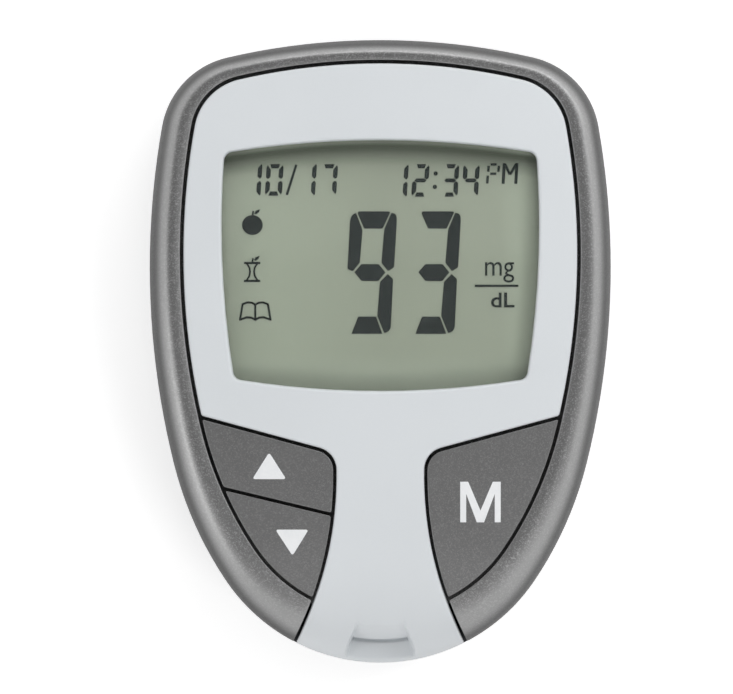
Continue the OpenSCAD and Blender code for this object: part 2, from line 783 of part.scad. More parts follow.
// A chip with its legs along two sides, hanging under the board.
module chip(xy, w, l, h, legs) {
    pitch = l / (legs + 0.5);
    translate([xy[0], xy[1], board_z]) {
        translate([-w / 2, -l / 2, -h]) cube([w, l, h - 0.1]);
        for (s = [-1, 1], i = [0:legs - 1])
            translate([s * (w / 2 + 0.35) - 0.35, (i - (legs - 1) / 2) * pitch - 0.15, -0.5])
                cube([0.7, 0.3, 0.5]);
    }
}
module microcontroller() {
    color([0.1, 0.1, 0.1]) chip([0, door_y - 4], 9, 9, 1.5, 10);
}
module memory_chip() {
    color([0.1, 0.1, 0.1]) chip([-11, door_y - 9], 3.9, 4.9, 1.5, 4);
}
module analog_chip() {
    color([0.1, 0.1, 0.1]) chip([0, connector_front + 5.3], 4.4, 6.5, 1.2, 8);
}
module crystal() {
    r = 1.1;
    color([0.75, 0.75, 0.75]) translate([-8, door_y - 6.2, board_z - r]) rotate([-90, 0, 0])
        cylinder(r = r, h = 6, $fn = 32);
}
module buzzer() {
    place = [-14, door_y - 17];
    h = 3.6;
    color([0.12, 0.12, 0.12]) difference() {
        rod(place, 4.6, board_z - h, board_z);
        rod(place, 0.9, board_z - h - 1, board_z - 1.5);
    }
}
// n chips of one size under the board, the first at start and the others at steps from it.
module chip_row(size, n, start, step) {
    for (i = [0:n - 1]) {
        middle = start + step * i;
        translate([middle[0] - size[0] / 2, middle[1] - size[1] / 2, board_z - size[2]]) cube(size);
    }
}
module capacitors() {
    lying = [1.6, 0.8, 0.9];
    upright = [0.8, 1.6, 0.9];
    color([0.72, 0.6, 0.45]) {
        chip_row(lying, 4, [8, door_y - 14], [0, -2]);
        chip_row(upright, 4, [-4.5, end_y - 11.5], [3, 0]);
        chip_row(lying, 3, [7.5, screw_low_y - 4.5], [0, -2]);
    }
}
module resistors() {
    lying = [1.6, 0.8, 0.5];
    upright = [0.8, 1.6, 0.5];
    color([0.1, 0.1, 0.12]) {
        chip_row(lying, 5, [5, door_y - 12.5], [0, -2]);
        chip_row(lying, 4, [-7.5, screw_low_y - 3.5], [0, -2]);
        chip_row(upright, 4, [-4.5, end_y - 8.5], [3, 0]);
    }
}

function contact_x(i) = (i - (contacts - 1) / 2) * contact_pitch;
module strip_connector() {
    slot_top = slot_z + slot_h;
    color([0.93, 0.93, 0.9]) difference() {
        block([-connector_w / 2, connector_front, board_top],
            [connector_w / 2, connector_back, board_top + connector_h]);
        block([-slot_w / 2, connector_front - 1, slot_z], [slot_w / 2, connector_back - 1.5, slot_top]);
        for (i = [0:contacts - 1])
            block([contact_x(i) - contact_w / 2 - 0.1, connector_front + 1.5, slot_top - 0.2],
                [contact_x(i) + contact_w / 2 + 0.1, connector_back + 1, board_top + connector_h + 1]);
    }
}
// Leaf springs that reach down into the slot, with a tail to the board behind the connector.
module strip_contacts() {
    t = 0.2;
    top = slot_z + slot_h + 0.3;
    bend = connector_front + 2.5;
    tip = slot_z + 0.3;
    tail = connector_back + t;
    color([0.85, 0.7, 0.35]) for (i = [0:contacts - 1])
        translate([contact_x(i) + contact_w / 2, 0, 0]) rotate([90, 0, -90]) linear_extrude(contact_w)
            polygon([
                [-tail, top], [-bend, top], [0.5 - bend, tip + 0.05], [0.2 - bend, tip],
                [-bend - 0.3, top - t], [t - tail, top - t], [t - tail, board_top],
                [-tail - 0.8, board_top], [-tail - 0.8, board_top + t], [-tail, board_top + t]
            ]);
}

module data_jack() {
    mouth = outer_x(jack_y) - jack_sink;
    low = jack_z - 2;
    block_end = cavity_half(low, jack_y - jack_half) - jack_clear;
    color([0.08, 0.08, 0.08]) difference() {
        union() {
            block([mouth - jack_depth - jack_wall, jack_y - jack_half, low],
                [block_end, jack_y + jack_half, board_z]);
            translate([block_end - eps, jack_y, jack_z]) rotate([0, 90, 0])
                cylinder(d = jack_barrel, h = mouth - block_end + eps, $fn = 48);
        }
        translate([mouth - jack_depth, jack_y, jack_z]) rotate([0, 90, 0])
            cylinder(d = jack_bore, h = jack_depth + 1, $fn = 48);
    }
}
module data_jack_contacts() {
    x = outer_x(jack_y) - jack_sink - jack_depth;
    t = 0.2;
    color([0.8, 0.78, 0.7]) for (y = [jack_y - jack_half - t, jack_y + jack_half])
        block([x, y, board_z - 3.4], [x + 1.5, y + t, board_z]);
}

// ---------- battery ----------

module battery_door() {
    color([0.22, 0.22, 0.23]) difference() {
        intersection() {
            rear_envelope();
            union() {
                block([-door_w / 2, door_y, 0], [door_w / 2, body_l, door_t]);
                block([-door_w / 2 - tongue_w + door_gap, door_y, rail_t + door_gap],
                    [door_w / 2 + tongue_w - door_gap, body_l, door_t]);
            }
        }
        for (i = [0:ridges - 1]) {
            y = door_y + 5 + ridge_pitch * i;
            block([-9, y, -1], [9, y + ridge_pitch / 2, 0.4]);
        }
    }
}
module coin_cell() {
    r = cell_d / 2;
    color([0.78, 0.78, 0.8]) translate([0, cell_y, cell_z]) rotate_extrude($fn = 96)
        polygon([
            [0, 0], [r - 0.5, 0], [r, 0.5], [r, cell_h - 0.7], [r - 0.4, cell_h - 0.4],
            [r - 1.2, cell_h - 0.4], [r - 1.3, cell_h], [0, cell_h]
        ]);
}
module coin_cell_left() {
    translate([-cell_pitch / 2, 0, 0]) coin_cell();
}
module coin_cell_right() {
    translate([cell_pitch / 2, 0, 0]) coin_cell();
}
module battery_plus_contacts() {
    y = cell_d / 2 + 0.03;
    color([0.85, 0.8, 0.6]) cell_sites()
        block([-plus_w / 2, y, tray_z + 0.7], [plus_w / 2, y + spring_t, board_z]);
}
// A strip under the pocket's roof with a tongue bent down onto the cell and a tail to the board.
module battery_minus_contacts() {
    tip = cell_z + cell_h;
    strip_z = pocket_top - spring_t;
    color([0.85, 0.8, 0.6]) cell_sites() {
        block([-spring_w / 2, spring_y, strip_z], [spring_w / 2, 1.8, pocket_top]);
        block([-spring_w / 2, spring_y, strip_z], [spring_w / 2, spring_y + spring_t, board_z]);
        translate([spring_w / 2, 0, 0]) rotate([90, 0, -90]) linear_extrude(spring_w)
            polygon([
                [-1.8, strip_z], [-1.8, pocket_top], [4.4, tip + 0.2],
                [5.2, tip + 0.2], [5.2, tip], [4.2, tip]
            ]);
    }
}

module case_screws() {
    length = deck_z - 1 - screw_seat_z;
    color([0.7, 0.7, 0.72]) for (p = screw_places) translate([p[0], p[1], screw_seat_z]) {
        cylinder(d = screw_d, h = length, $fn = 32);
        difference() {
            translate([0, 0, -screw_head_h]) cylinder(d = screw_head_d, h = screw_head_h, $fn = 32);
            for (a = [0, 90]) rotate(a) translate([-1.1, -0.2, -screw_head_h - 1]) cube([2.2, 0.4, 1.8]);
        }
    }
}
module rating_label() {
    low = 0.05;
    color([0.85, 0.85, 0.85])
        block([-label_w / 2, label_y - label_l / 2, low], [label_w / 2, label_y + label_l / 2, label_depth]);
}

// ---------- one line for each node ----------

rear_case();
front_case();
faceplate();
display_lens();
up_key();
down_key();
memory_key();
dome(up_dome_xy);  // up_dome
dome(down_dome_xy);  // down_dome
dome(memory_dome_xy);  // memory_dome
lcd_front_polarizer();
lcd_front_glass();
lcd_rear_glass();
lcd_reflector();
lcd_holder();
zebra_strip();
circuit_board();
microcontroller();
memory_chip();
analog_chip();
crystal();
buzzer();
capacitors();
resistors();
strip_connector();
strip_contacts();
data_jack();
data_jack_contacts();
battery_door();
coin_cell_left();
coin_cell_right();
battery_plus_contacts();
battery_minus_contacts();
case_screws();
rating_label();
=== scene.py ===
import math
import bmesh
import bpy
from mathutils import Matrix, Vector


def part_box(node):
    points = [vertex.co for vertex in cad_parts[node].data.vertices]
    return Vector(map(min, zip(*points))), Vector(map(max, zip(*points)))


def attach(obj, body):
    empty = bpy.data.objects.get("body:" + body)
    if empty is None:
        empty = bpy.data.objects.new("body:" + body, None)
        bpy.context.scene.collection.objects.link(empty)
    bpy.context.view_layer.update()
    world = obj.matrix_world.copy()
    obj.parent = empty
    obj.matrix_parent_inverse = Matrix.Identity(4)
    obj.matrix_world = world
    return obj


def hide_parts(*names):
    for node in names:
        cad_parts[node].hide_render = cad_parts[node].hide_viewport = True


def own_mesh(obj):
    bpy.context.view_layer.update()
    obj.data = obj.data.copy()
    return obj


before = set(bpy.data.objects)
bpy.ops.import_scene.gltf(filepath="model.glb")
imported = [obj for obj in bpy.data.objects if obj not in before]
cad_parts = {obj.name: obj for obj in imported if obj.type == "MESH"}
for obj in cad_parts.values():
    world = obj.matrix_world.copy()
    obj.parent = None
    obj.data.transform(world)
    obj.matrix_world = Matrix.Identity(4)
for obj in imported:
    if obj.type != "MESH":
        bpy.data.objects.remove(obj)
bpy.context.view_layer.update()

# ---- sizes, in millimetres

MM = 0.001
TINY = 1e-7
# headings and radii of the arcs that make each outline, with its width, length and top
BODY_TURNS = (0, 13, 80, 90, 104, 124, 180)
BODY_RADII = (84.2, 10.6, 100.4, 100.4, 45.7, 23.0)
FACE_RADII = (77.4, 7.4, 90.7, 90.7, 45.5, 18.5)
WINDOW_TURNS = (0, 9, 86, 90, 99, 171, 180)
WINDOW_RADII = (117.0, 1.2, 116.0, 116.0, 1.1, 110.2)
BODY_SIZE = (57.0, 77.0, 38.5)
FACE_SIZE = (48.9, 68.2, 35.7)
WINDOW_SIZE = (39.2, 31.0, 26.1)
BODY_STEPS = (10, 18, 9, 12, 10, 22)
WINDOW_STEPS = (6, 8, 3, 5, 8, 6)

PARTING_Z = 10.0
CROWN_Z = 23.345
CROWN_Y = 8.0
CROWN_LONG = 220
CROWN_WIDE = 300
NOSE_ROLL_Y = -24.0
NOSE_ROLL = 30
NOSE_BEND_Y = -26.0
GROOVE = 0.4
RIM_POWER = 3.5
DECK_Z = 17.0
LENS_TOP = 20.8

KEY_MIDDLE = (50.6, -15.3)
KEY_RADIUS = 45.0
KEY_CORNER = 2.6
SHOULDER_Y = -14.1
SHOULDER_SLOPE = 0.27157
SPLIT_Y = -21.5
SPLIT_SLOPE = math.tan(math.radians(13.5))
KEY_DROP = 0.15
KEY_FLANGE_Z = 15.4
# where each stem stands
STEMS = {"up_key": (-12.6, -14.6), "down_key": (-11.2, -22.4), "memory_key": (12.4, -17.6)}

# scale of the display's own drawing: one dot in millimetres, and the dot at the object's middle
DOT = 0.12379
DOT_MIDDLE = (380.2, 351.5)


# ---- outlines

class Outline:
    """Half of a closed outline of tangent arcs, from the middle of the display end to the strip end."""

    def __init__(self, turns, radii, width, length, top, grow=0.0):
        self.turns = [math.radians(t) for t in turns]
        self.radii = [r + grow for r in radii]
        self.top = top + grow
        x, y = 0.0, 0.0
        self.starts = [(x, y)]
        for i, r in enumerate(self.radii):
            a, b = self.turns[i], self.turns[i + 1]
            x += r * (math.sin(b) - math.sin(a))
            y += r * (math.cos(b) - math.cos(a))
            self.starts.append((x, y))
        self.sx = (width / 2 + grow) / self.starts[3][0]
        self.sy = -(length + 2 * grow) / self.starts[-1][1]
        self.miss = self.starts[-1][0]

    def arc(self, turn):
        for i in range(len(self.radii)):
            if turn <= self.turns[i + 1] or i == len(self.radii) - 1:
                return i

    def at(self, degrees):
        turn = math.radians(degrees)
        i = self.arc(turn)
        a, r = self.turns[i], self.radii[i]
        x = self.starts[i][0] + r * (math.sin(turn) - math.sin(a))
        y = self.starts[i][1] + r * (math.cos(turn) - math.cos(a))
        if i >= 3:
            x -= self.miss * (turn - self.turns[3]) / (math.pi - self.turns[3])
        return Vector((x * self.sx, self.top + y * self.sy))

    def along(self, degrees):
        turn = math.radians(degrees)
        return Vector((math.cos(turn) * self.sx, -math.sin(turn) * self.sy)).normalized()

    def out(self, degrees):
        way = self.along(degrees)
        return Vector((-way.y, way.x))


def stops(turns, steps):
    """Headings along an outline, with so many steps to each arc."""
    found = [float(turns[0])]
    for i, n in enumerate(steps):
        a, b = turns[i], turns[i + 1]
        found += [a + (b - a) * (k + 1) / n for k in range(n)]
    return found


BODY = Outline(BODY_TURNS, BODY_RADII, *BODY_SIZE)
FACE = Outline(BODY_TURNS, FACE_RADII, *FACE_SIZE)
FACE_IN = Outline(BODY_TURNS, FACE_RADII, *FACE_SIZE, -GROOVE / 2)
WINDOW = Outline(WINDOW_TURNS, WINDOW_RADII, *WINDOW_SIZE)


def root(test, low, high):
    """The value between low and high at which the test changes sign."""
    sign = test(low) > 0
    for _ in range(34):
        middle = (low + high) / 2
        if (test(middle) > 0) == sign:
            low = middle
        else:
            high = middle
    return (low + high) / 2


# ---- the crowned face and its rolled edge

def crown(x, y):
    roll = max(0.0, NOSE_ROLL_Y - y)
    fall = (y - CROWN_Y) ** 2 / CROWN_LONG + x * x / CROWN_WIDE + roll * roll / NOSE_ROLL
    return CROWN_Z - fall / 2


def crown_normal(x, y):
    roll = max(0.0, NOSE_ROLL_Y - y)
    return Vector((x / CROWN_WIDE, (y - CROWN_Y) / CROWN_LONG - roll / NOSE_ROLL, 1.0)).normalized()


def edge_point(turn, rise):
    """A point of the rolled edge: rise 0 is the parting line, 90 the face line."""
    c = max(0.0, math.cos(math.radians(rise)))
    s = math.sin(math.radians(rise))
    share = 1 - c ** (2 / RIM_POWER)
    p = BODY.at(turn).lerp(FACE.at(turn), share)
    z = PARTING_Z + (crown(p.x, p.y) - PARTING_Z) * s ** (2 / RIM_POWER)
    return Vector((p.x, p.y, z))


def rise_of(share):
    """The rise for an even walk round the edge: share 0 at the parting line, 1 at the face line."""
    bend = RIM_POWER / 2
    return math.degrees(math.atan2(share ** bend, (1 - share) ** bend))


def share_of(rise):
    if rise >= 90:
        return 1.0
    part = math.tan(math.radians(rise)) ** (2 / RIM_POWER)
    return part / (1 + part)


RISES = [rise_of(1 - k / 64) for k in range(65)]


def edge_lengths(turn):
    """Length of the rolled edge from the face line down to each of RISES."""
    points = [edge_point(turn, rise) for rise in RISES]
    found = [0.0]
    for last, here in zip(points, points[1:]):
        found.append(found[-1] + (here - last).length)
    return found


def read_off(value, firsts, seconds):
    """The entry of the second row that goes with a value of the first, which rises or falls all along."""
    way = 1 if firsts[-1] > firsts[0] else -1
    for k in range(1, len(firsts)):
        if way * value <= way * firsts[k]:
            part = (value - firsts[k - 1]) / (firsts[k] - firsts[k - 1])
            return seconds[k - 1] + (seconds[k] - seconds[k - 1]) * part
    return seconds[-1]


def laid_flat(turn, rise):
    """Where a point of the rolled edge lies when the face is laid out flat."""
    p = FACE.at(turn) + FACE.out(turn) * read_off(rise, RISES, edge_lengths(turn))
    return (p.x, p.y)


def rolled(x, y):
    """Point and normal of the face at a place of the flat layout."""
    side = -1.0 if x < 0 else 1.0
    u = Vector((abs(x), y))
    past = -1.0
    if y < NOSE_BEND_Y:
        turn = root(lambda t: (u - FACE.at(t)).dot(FACE.along(t)), 120.0, 180.0)
        past = (u - FACE.at(turn)).dot(FACE.out(turn))
    if past <= 10 * TINY:
        return Vector((x, y, crown(x, y))), crown_normal(x, y)
    rise = read_off(past, edge_lengths(turn), RISES)
    here = edge_point(turn, rise)
    if abs(x) < 10 * TINY:
        here.x = 0.0
    share = share_of(rise)
    low, high = rise_of(max(share - 0.01, 0.0)), rise_of(min(share + 0.01, 1.0))
    up = edge_point(turn, high) - edge_point(turn, low)
    across = edge_point(min(turn + 0.2, 180.0), rise) - edge_point(turn - 0.2, rise)
    normal = up.cross(across).normalized()
    if normal.dot(Vector((0, -1, 1))) < 0:
        normal.negate()
    here.x *= side
    normal.x *= side
    return here, normal


# ---- modelling steps

CLEAR_OF_CORNERS = 0.0137


def clear_picks():
    if bpy.context.object and bpy.context.object.mode != "OBJECT":
        bpy.ops.object.mode_set(mode="OBJECT")
    bpy.ops.object.select_all(action="DESELECT")


def take(piece):
    clear_picks()
    piece.select_set(True)
    bpy.context.view_layer.objects.active = piece


def named(name):
    piece = bpy.context.object
    piece.name = name
    piece.data.name = name
    return piece


def in_metres(sizes):
    return [size * MM for size in sizes]


def settled():
    """The new object, with its place and scale made part of its mesh."""
    piece = bpy.context.object
    take(piece)
    bpy.ops.object.transform_apply(location=True, rotation=True, scale=True)
    return piece


def block(place, size):
    """A box round its middle."""
    clear_picks()
    bpy.ops.mesh.primitive_cube_add(size=1, location=in_metres(place), scale=in_metres(size))
    return settled()


def pillar(place, radius, height, sides):
    clear_picks()
    bpy.ops.mesh.primitive_cylinder_add(
        vertices=sides, radius=radius * MM, depth=height * MM, location=in_metres(place))
    return settled()


def edit(piece):
    """Opens a piece for editing, with all of it selected."""
    take(piece)
    bpy.ops.object.mode_set(mode="EDIT")
    bpy.ops.mesh.select_all(action="SELECT")


def done():
    bpy.ops.object.mode_set(mode="OBJECT")


def outward():
    """Turns every face of the piece being edited outwards."""
    bpy.ops.mesh.select_all(action="SELECT")
    bpy.ops.mesh.normals_make_consistent(inside=False)


def pick(piece, kind, test):
    """Selects the faces, edges or vertices that pass the test."""
    bpy.ops.mesh.select_mode(type=kind)
    bpy.ops.mesh.select_all(action="DESELECT")
    bm = bmesh.from_edit_mesh(piece.data)
    for item in {"VERT": bm.verts, "EDGE": bm.edges, "FACE": bm.faces}[kind]:
        if test(item):
            item.select_set(True)
    bm.select_flush_mode()
    bmesh.update_edit_mesh(piece.data)


def drawn_plate(name, outline, z=0.0):
    """A flat plate that faces up, whose edge follows the outline."""
    clear_picks()
    bpy.ops.mesh.primitive_circle_add(vertices=len(outline), radius=0.01, fill_type="NGON")
    piece = named(name)
    for vertex, place in zip(piece.data.vertices, outline):
        vertex.co = in_metres((*place, z))
    edit(piece)
    outward()
    done()
    if piece.data.polygons[0].normal.z < 0:
        edit(piece)
        bpy.ops.mesh.flip_normals()
        done()
    return piece


def thicken(piece, rise):
    """Gives a flat plate its thickness, upwards or downwards."""
    edit(piece)
    bpy.ops.mesh.extrude_region_move(TRANSFORM_OT_translate={"value": (0, 0, rise * MM)})
    outward()
    done()


def round_corners(piece, places, radius, segments):
    """Rounds the plan corners at the given places."""
    def near(v):
        return any(math.hypot(v.co.x - x * MM, v.co.y - y * MM) < 0.02 * MM for x, y in places)

    edit(piece)
    pick(piece, "VERT", near)
    bpy.ops.mesh.bevel(offset=radius * MM, segments=segments, affect="VERTICES", clamp_overlap=False)
    done()


def soften_top(piece, width):
    """Rolls over the upper edge of a plate whose top lies at z 0, but not where its other half joins."""
    def upper_edge(e):
        at_top = all(abs(v.co.z) <= TINY for v in e.verts)
        at_middle = all(abs(v.co.x) < TINY for v in e.verts)
        return at_top and not at_middle and e.calc_face_angle(0.0) > 1.0

    edit(piece)
    pick(piece, "EDGE", upper_edge)
    bpy.ops.mesh.bevel(offset=width * MM, segments=4, affect="EDGES", clamp_overlap=True)
    done()


def cut_rows(piece, axis, places, test=None):
    """Cuts a piece, or its faces that pass the test, across one axis at each of the places."""
    normal = [float(k == axis) for k in range(3)]
    edit(piece)
    for at in places:
        if test:
            pick(piece, "FACE", test)
        else:
            bpy.ops.mesh.select_all(action="SELECT")
        bpy.ops.mesh.bisect(plane_co=[at * MM * n for n in normal], plane_no=normal)
    done()


def rule(piece, axis, low, high, pitch):
    """Cuts a piece into strips across one axis, so that it can be bent."""
    places = [low + k * pitch + CLEAR_OF_CORNERS for k in range(1, int((high - low) / pitch) + 1)]
    cut_rows(piece, axis, [at for at in places if at < high])


def close_up(piece, gap=0.001):
    """Merges doubled points and turns the faces outwards."""
    edit(piece)
    bpy.ops.mesh.remove_doubles(threshold=gap * MM)
    outward()
    done()


def modify(piece, kind, **settings):
    """Adds one modifier with its settings and makes its result the piece's mesh."""
    take(piece)
    bpy.ops.object.modifier_add(type=kind)
    modifier = piece.modifiers[-1]
    for key, value in settings.items():
        setattr(modifier, key, value)
    bpy.ops.object.modifier_apply(modifier=modifier.name)


def bevelled(piece, width, segments, angle):
    """Rolls over every sharp edge of a finished piece."""
    modify(piece, "BEVEL", width=width * MM, segments=segments, limit_method="ANGLE",
           angle_limit=math.radians(angle))
    return piece


def cut_away(piece, cutter):
    """Takes the cutter's shape out of a piece."""
    modify(piece, "BOOLEAN", operation="DIFFERENCE", solver="EXACT", object=cutter)
    bpy.data.objects.remove(cutter, do_unlink=True)


def smooth(piece, angle):
    take(piece)
    bpy.ops.object.shade_smooth_by_angle(angle=math.radians(angle))


def even_shading(piece):
    """Smooth shading that keeps flat faces flat and sharp edges sharp."""
    smooth(piece, 34)
    modify(piece, "WEIGHTED_NORMAL", keep_sharp=True, weight=60)


def joined(name, pieces):
    clear_picks()
    for piece in pieces:
        piece.select_set(True)
    bpy.context.view_layer.objects.active = pieces[0]
    bpy.ops.object.join()
    return named(name)


def dress(piece, look, body):
    piece.data.materials.clear()
    piece.data.materials.append(look)
    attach(piece, body)


# ---- keys' places in the face

SHOULDER_SPAN = (80.0, 124.0)
SPLIT_SPAN = (90.0, 160.0)


def from_circle(place):
    """Distance from the middle of the circle that bounds the keys."""
    return math.hypot(place[0] - KEY_MIDDLE[0], place[1] - KEY_MIDDLE[1])


def circle_turn(path, radius):
    """The heading at which a path comes to a circle round the keys' middle."""
    return root(lambda turn: from_circle(path(turn)) - radius, 130.0, 180.0)


def line_turn(line, gap, span):
    """The heading, within a span, at which the face line comes to a line moved by a gap."""
    return root(lambda turn: FACE_IN.at(turn).y - line(FACE_IN.at(turn).x, gap), *span)


def shoulder(x, drop):
    """The shoulder line above a key, lowered by so much."""
    return SHOULDER_Y + SHOULDER_SLOPE * x - drop * math.hypot(1, SHOULDER_SLOPE)


def split(x, gap):
    """The line between the two left keys, raised by a gap."""
    return SPLIT_Y + SPLIT_SLOPE * x + gap / math.cos(math.atan(SPLIT_SLOPE))


def circle_heading(place):
    return math.atan2(place[1] - KEY_MIDDLE[1], place[0] - KEY_MIDDLE[0]) % (2 * math.pi)


def on_arc(middle, radius, angles):
    return [(middle[0] + radius * math.cos(a), middle[1] + radius * math.sin(a)) for a in angles]


def corner_arc(grow):
    """The rounding between the shoulder line and the key circle, from the line round to the circle."""
    reach = KEY_RADIUS - KEY_CORNER
    x = root(lambda x: from_circle((x, shoulder(x, KEY_CORNER))) - reach, 4.0, 14.0)
    middle = Vector((x, shoulder(x, KEY_CORNER)))
    start = math.pi / 2 + math.atan(SHOULDER_SLOPE)
    end = circle_heading(middle)
    return on_arc(middle, KEY_CORNER + grow, [start + (end - start) * k / 8 for k in range(9)])


def circle_run(first, last_y, radius, steps):
    """Points down the key circle's near side, from a first point to a given height."""
    a = circle_heading(first)
    b = math.pi + math.asin((KEY_MIDDLE[1] - last_y) / radius)
    return on_arc(KEY_MIDDLE, radius, [a + (b - a) * k / steps for k in range(1, steps + 1)])


# ---- front case rim

RIM_ROWS = 28
ROLL_DEEP = 0.40
ROLL_WIDE = 1.7
# the roll loses this share of its depth between these headings, beside the keys
ROLL_FADE = 0.75
ROLL_FADE_SPAN = (95.0, 132.0)
DECK_THICK = 1.4
CASE_WALL = 1.6
NECK_START = 138.0
NECK_STEPS = 7
DECK_UNDER_FACE = 0.6
DECK_WINDOW = (43.3, 36.0)
DECK_WINDOW_Y = 10.6
STEM_HOLE = 1.9
THROUGH = 4


def rim_row(row, turn):
    """A point of the rim's section: the outside, then the groove's wall, then the inside."""
    width = (BODY.at(turn) - FACE.at(turn)).dot(FACE.out(turn))
    top = math.degrees(math.acos((GROOVE / 2 / width) ** (RIM_POWER / 2)))
    crest = edge_point(turn, top)
    deep = ROLL_DEEP * (1.0 - ROLL_FADE * eased(turn, *ROLL_FADE_SPAN))
    if row <= RIM_ROWS:
        p = edge_point(turn, rise_of(share_of(top) * row / RIM_ROWS))
        near = max(0.0, 1.0 - math.hypot(p.x - crest.x, p.y - crest.y) / ROLL_WIDE)
        return Vector((p.x, p.y, p.z - deep * near ** 2))
    crest.z -= deep
    if row == RIM_ROWS + 1:
        return Vector((crest.x, crest.y, (crest.z + DECK_Z - DECK_THICK) / 2))
    if row == RIM_ROWS + 2:
        return Vector((crest.x, crest.y, DECK_Z - DECK_THICK))
    inside = BODY.at(turn) - BODY.out(turn) * CASE_WALL
    return Vector((inside.x, inside.y, PARTING_Z))


def rim_body():
    """The rim, swept from one side of the neck round the display end to the other."""
    rows = RIM_ROWS + 4
    ends = [circle_turn(lambda turn: rim_row(row, turn), KEY_RADIUS - GROOVE / 2) for row in range(rows)]
    base = [t for t in stops(BODY_TURNS, BODY_STEPS) if t < NECK_START]
    half = len(base) - 1 + NECK_STEPS
    clear_picks()
    bpy.ops.mesh.primitive_grid_add(x_subdivisions=2 * half, y_subdivisions=rows, size=2 * MM)
    piece = named("front_rim")
    for vertex in piece.data.vertices:
        across = round((vertex.co.x / (2 * MM) + 0.5) * 2 * half) - half
        row = round((vertex.co.y / (2 * MM) + 0.5) * rows) % rows
        k = abs(across)
        if k < len(base):
            turn = base[k]
        else:
            turn = base[-1] + (ends[row] - base[-1]) * (k - len(base) + 1) / NECK_STEPS
        p = rim_row(row, turn)
        vertex.co = in_metres((math.copysign(p.x, across), p.y, p.z))
    close_up(piece)
    edit(piece)
    pick(piece, "EDGE", lambda e: e.is_boundary)
    bpy.ops.mesh.edge_face_add()
    outward()
    done()
    return bevelled(piece, 0.16, 3, 38)


def deck():
    """The flat floor inside the rim that carries the display and the keys."""
    outline = [FACE.at(t) + FACE.out(t) * DECK_UNDER_FACE for t in stops(BODY_TURNS, (4, 6, 3, 4, 3, 8))]
    plan = [tuple(p) for p in outline] + [(-p.x, p.y) for p in reversed(outline[1:-1])]
    piece = drawn_plate("deck", plan, DECK_Z)
    thicken(piece, -DECK_THICK)
    middle_z = DECK_Z - DECK_THICK / 2
    cut_away(piece, block((0, DECK_WINDOW_Y, middle_z), (*DECK_WINDOW, THROUGH)))
    for stem in STEMS.values():
        cut_away(piece, pillar((*stem, middle_z), STEM_HOLE, THROUGH, 32))
    return bevelled(piece, 0.12, 1, 50)


def front_case(look):
    piece = joined("front_rim_and_deck", [rim_body(), deck()])
    even_shading(piece)
    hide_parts("front_case")
    dress(piece, look, "meter")


# ---- strip notch

NOTCH_TOP_Y = -33.85
NOTCH_TOP_HALF = 3.1
NOTCH_FLARE = 0.60
NOTCH_REACH = 9.0
NOTCH_START_Y = -32.9
NOTCH_OUTSIDE = 4.6
NOTCH_FLOOR = 13.1
NOTCH_WALL_HALF = 0.28
SLOT_TOP = 14.0
SLOT_Y = -35.27
SLOT_BOW = 0.33
BACK_SLOPE = 3.03
SIDE_RISE = 5.0
SILL = 0.3
FOOT_ROUND = 0.16
NEAR_FOOT = (0.16, 0.12, 0.085, 0.055, 0.03, 0.012, -0.004, -0.03, -0.08, -0.14, -0.21)
FOOT_DEEP = 0.35


def lower_of(a, b, soft):
    """The lower of two heights, blended where they meet."""
    near = max(soft - abs(a - b), 0.0) / soft
    return min(a, b) - near * near * soft / 4


def higher_of(a, b, soft):
    return -lower_of(-a, -b, soft)


def eased(value, low, high):
    t = min(max((value - low) / (high - low), 0.0), 1.0)
    return t * t * (3 - 2 * t)


END_ROWS = [laid_flat(180.0, rise)[1] for rise in RISES]
END_PLACES = [edge_point(180.0, rise).y for rise in RISES]


def row_y(v):
    """Where a row of the flat layout comes to lie on the middle line."""
    return v if v >= END_ROWS[0] else read_off(v, END_ROWS, END_PLACES)


def row_at(y):
    return root(lambda v: row_y(v) - y, END_ROWS[-1] - 0.01, -25.0)


def notch_rows():
    """Rows of the layout that follow the notch's back wall, its foot, its floor and its lip."""
    rows = [-33.2 - 0.11 * k for k in range(18)]
    rows += [SLOT_Y + d for d in NEAR_FOOT]
    rows += [SLOT_Y - 0.3 - 0.14 * k for k in range(17)]
    rows = [row_at(y) for y in rows]
    rows += [row_at(-38.0) - 0.16 * k for k in range(1, 12)]
    return rows


def notch_columns():
    edge = NOTCH_TOP_HALF
    columns = [0.4 * k + 0.013 for k in range(1, 6)]
    columns += [edge - 0.75 + 0.07 * k for k in range(18)]
    columns += [edge + 0.6 + 0.2 * k for k in range(5)]
    return columns


def notch_place(x, v):
    """Shifts a place of the layout so that rows and columns follow the bowed foot and the flared sides."""
    y = row_y(v)
    if y > -32.6 or abs(x) > NOTCH_REACH:
        return x, v
    below = NOTCH_TOP_Y - y
    flare = 1 + NOTCH_FLARE * eased(below + 0.8, 0.0, 1.6) * max(below, 0.0) / NOTCH_TOP_HALF
    across = abs(x)
    if across <= NOTCH_TOP_HALF:
        moved = across * flare
    else:
        top = NOTCH_TOP_HALF * flare
        moved = top + (across - NOTCH_TOP_HALF) * (NOTCH_REACH - top) / (NOTCH_REACH - NOTCH_TOP_HALF)
    bow = SLOT_BOW * max(1 - (across / NOTCH_TOP_HALF) ** 2, 0.0)
    bow *= eased(y, -37.4, SLOT_Y) if y < SLOT_Y else 1 - eased(y, SLOT_Y, -34.0)
    return math.copysign(moved, x), v - bow * 1.25


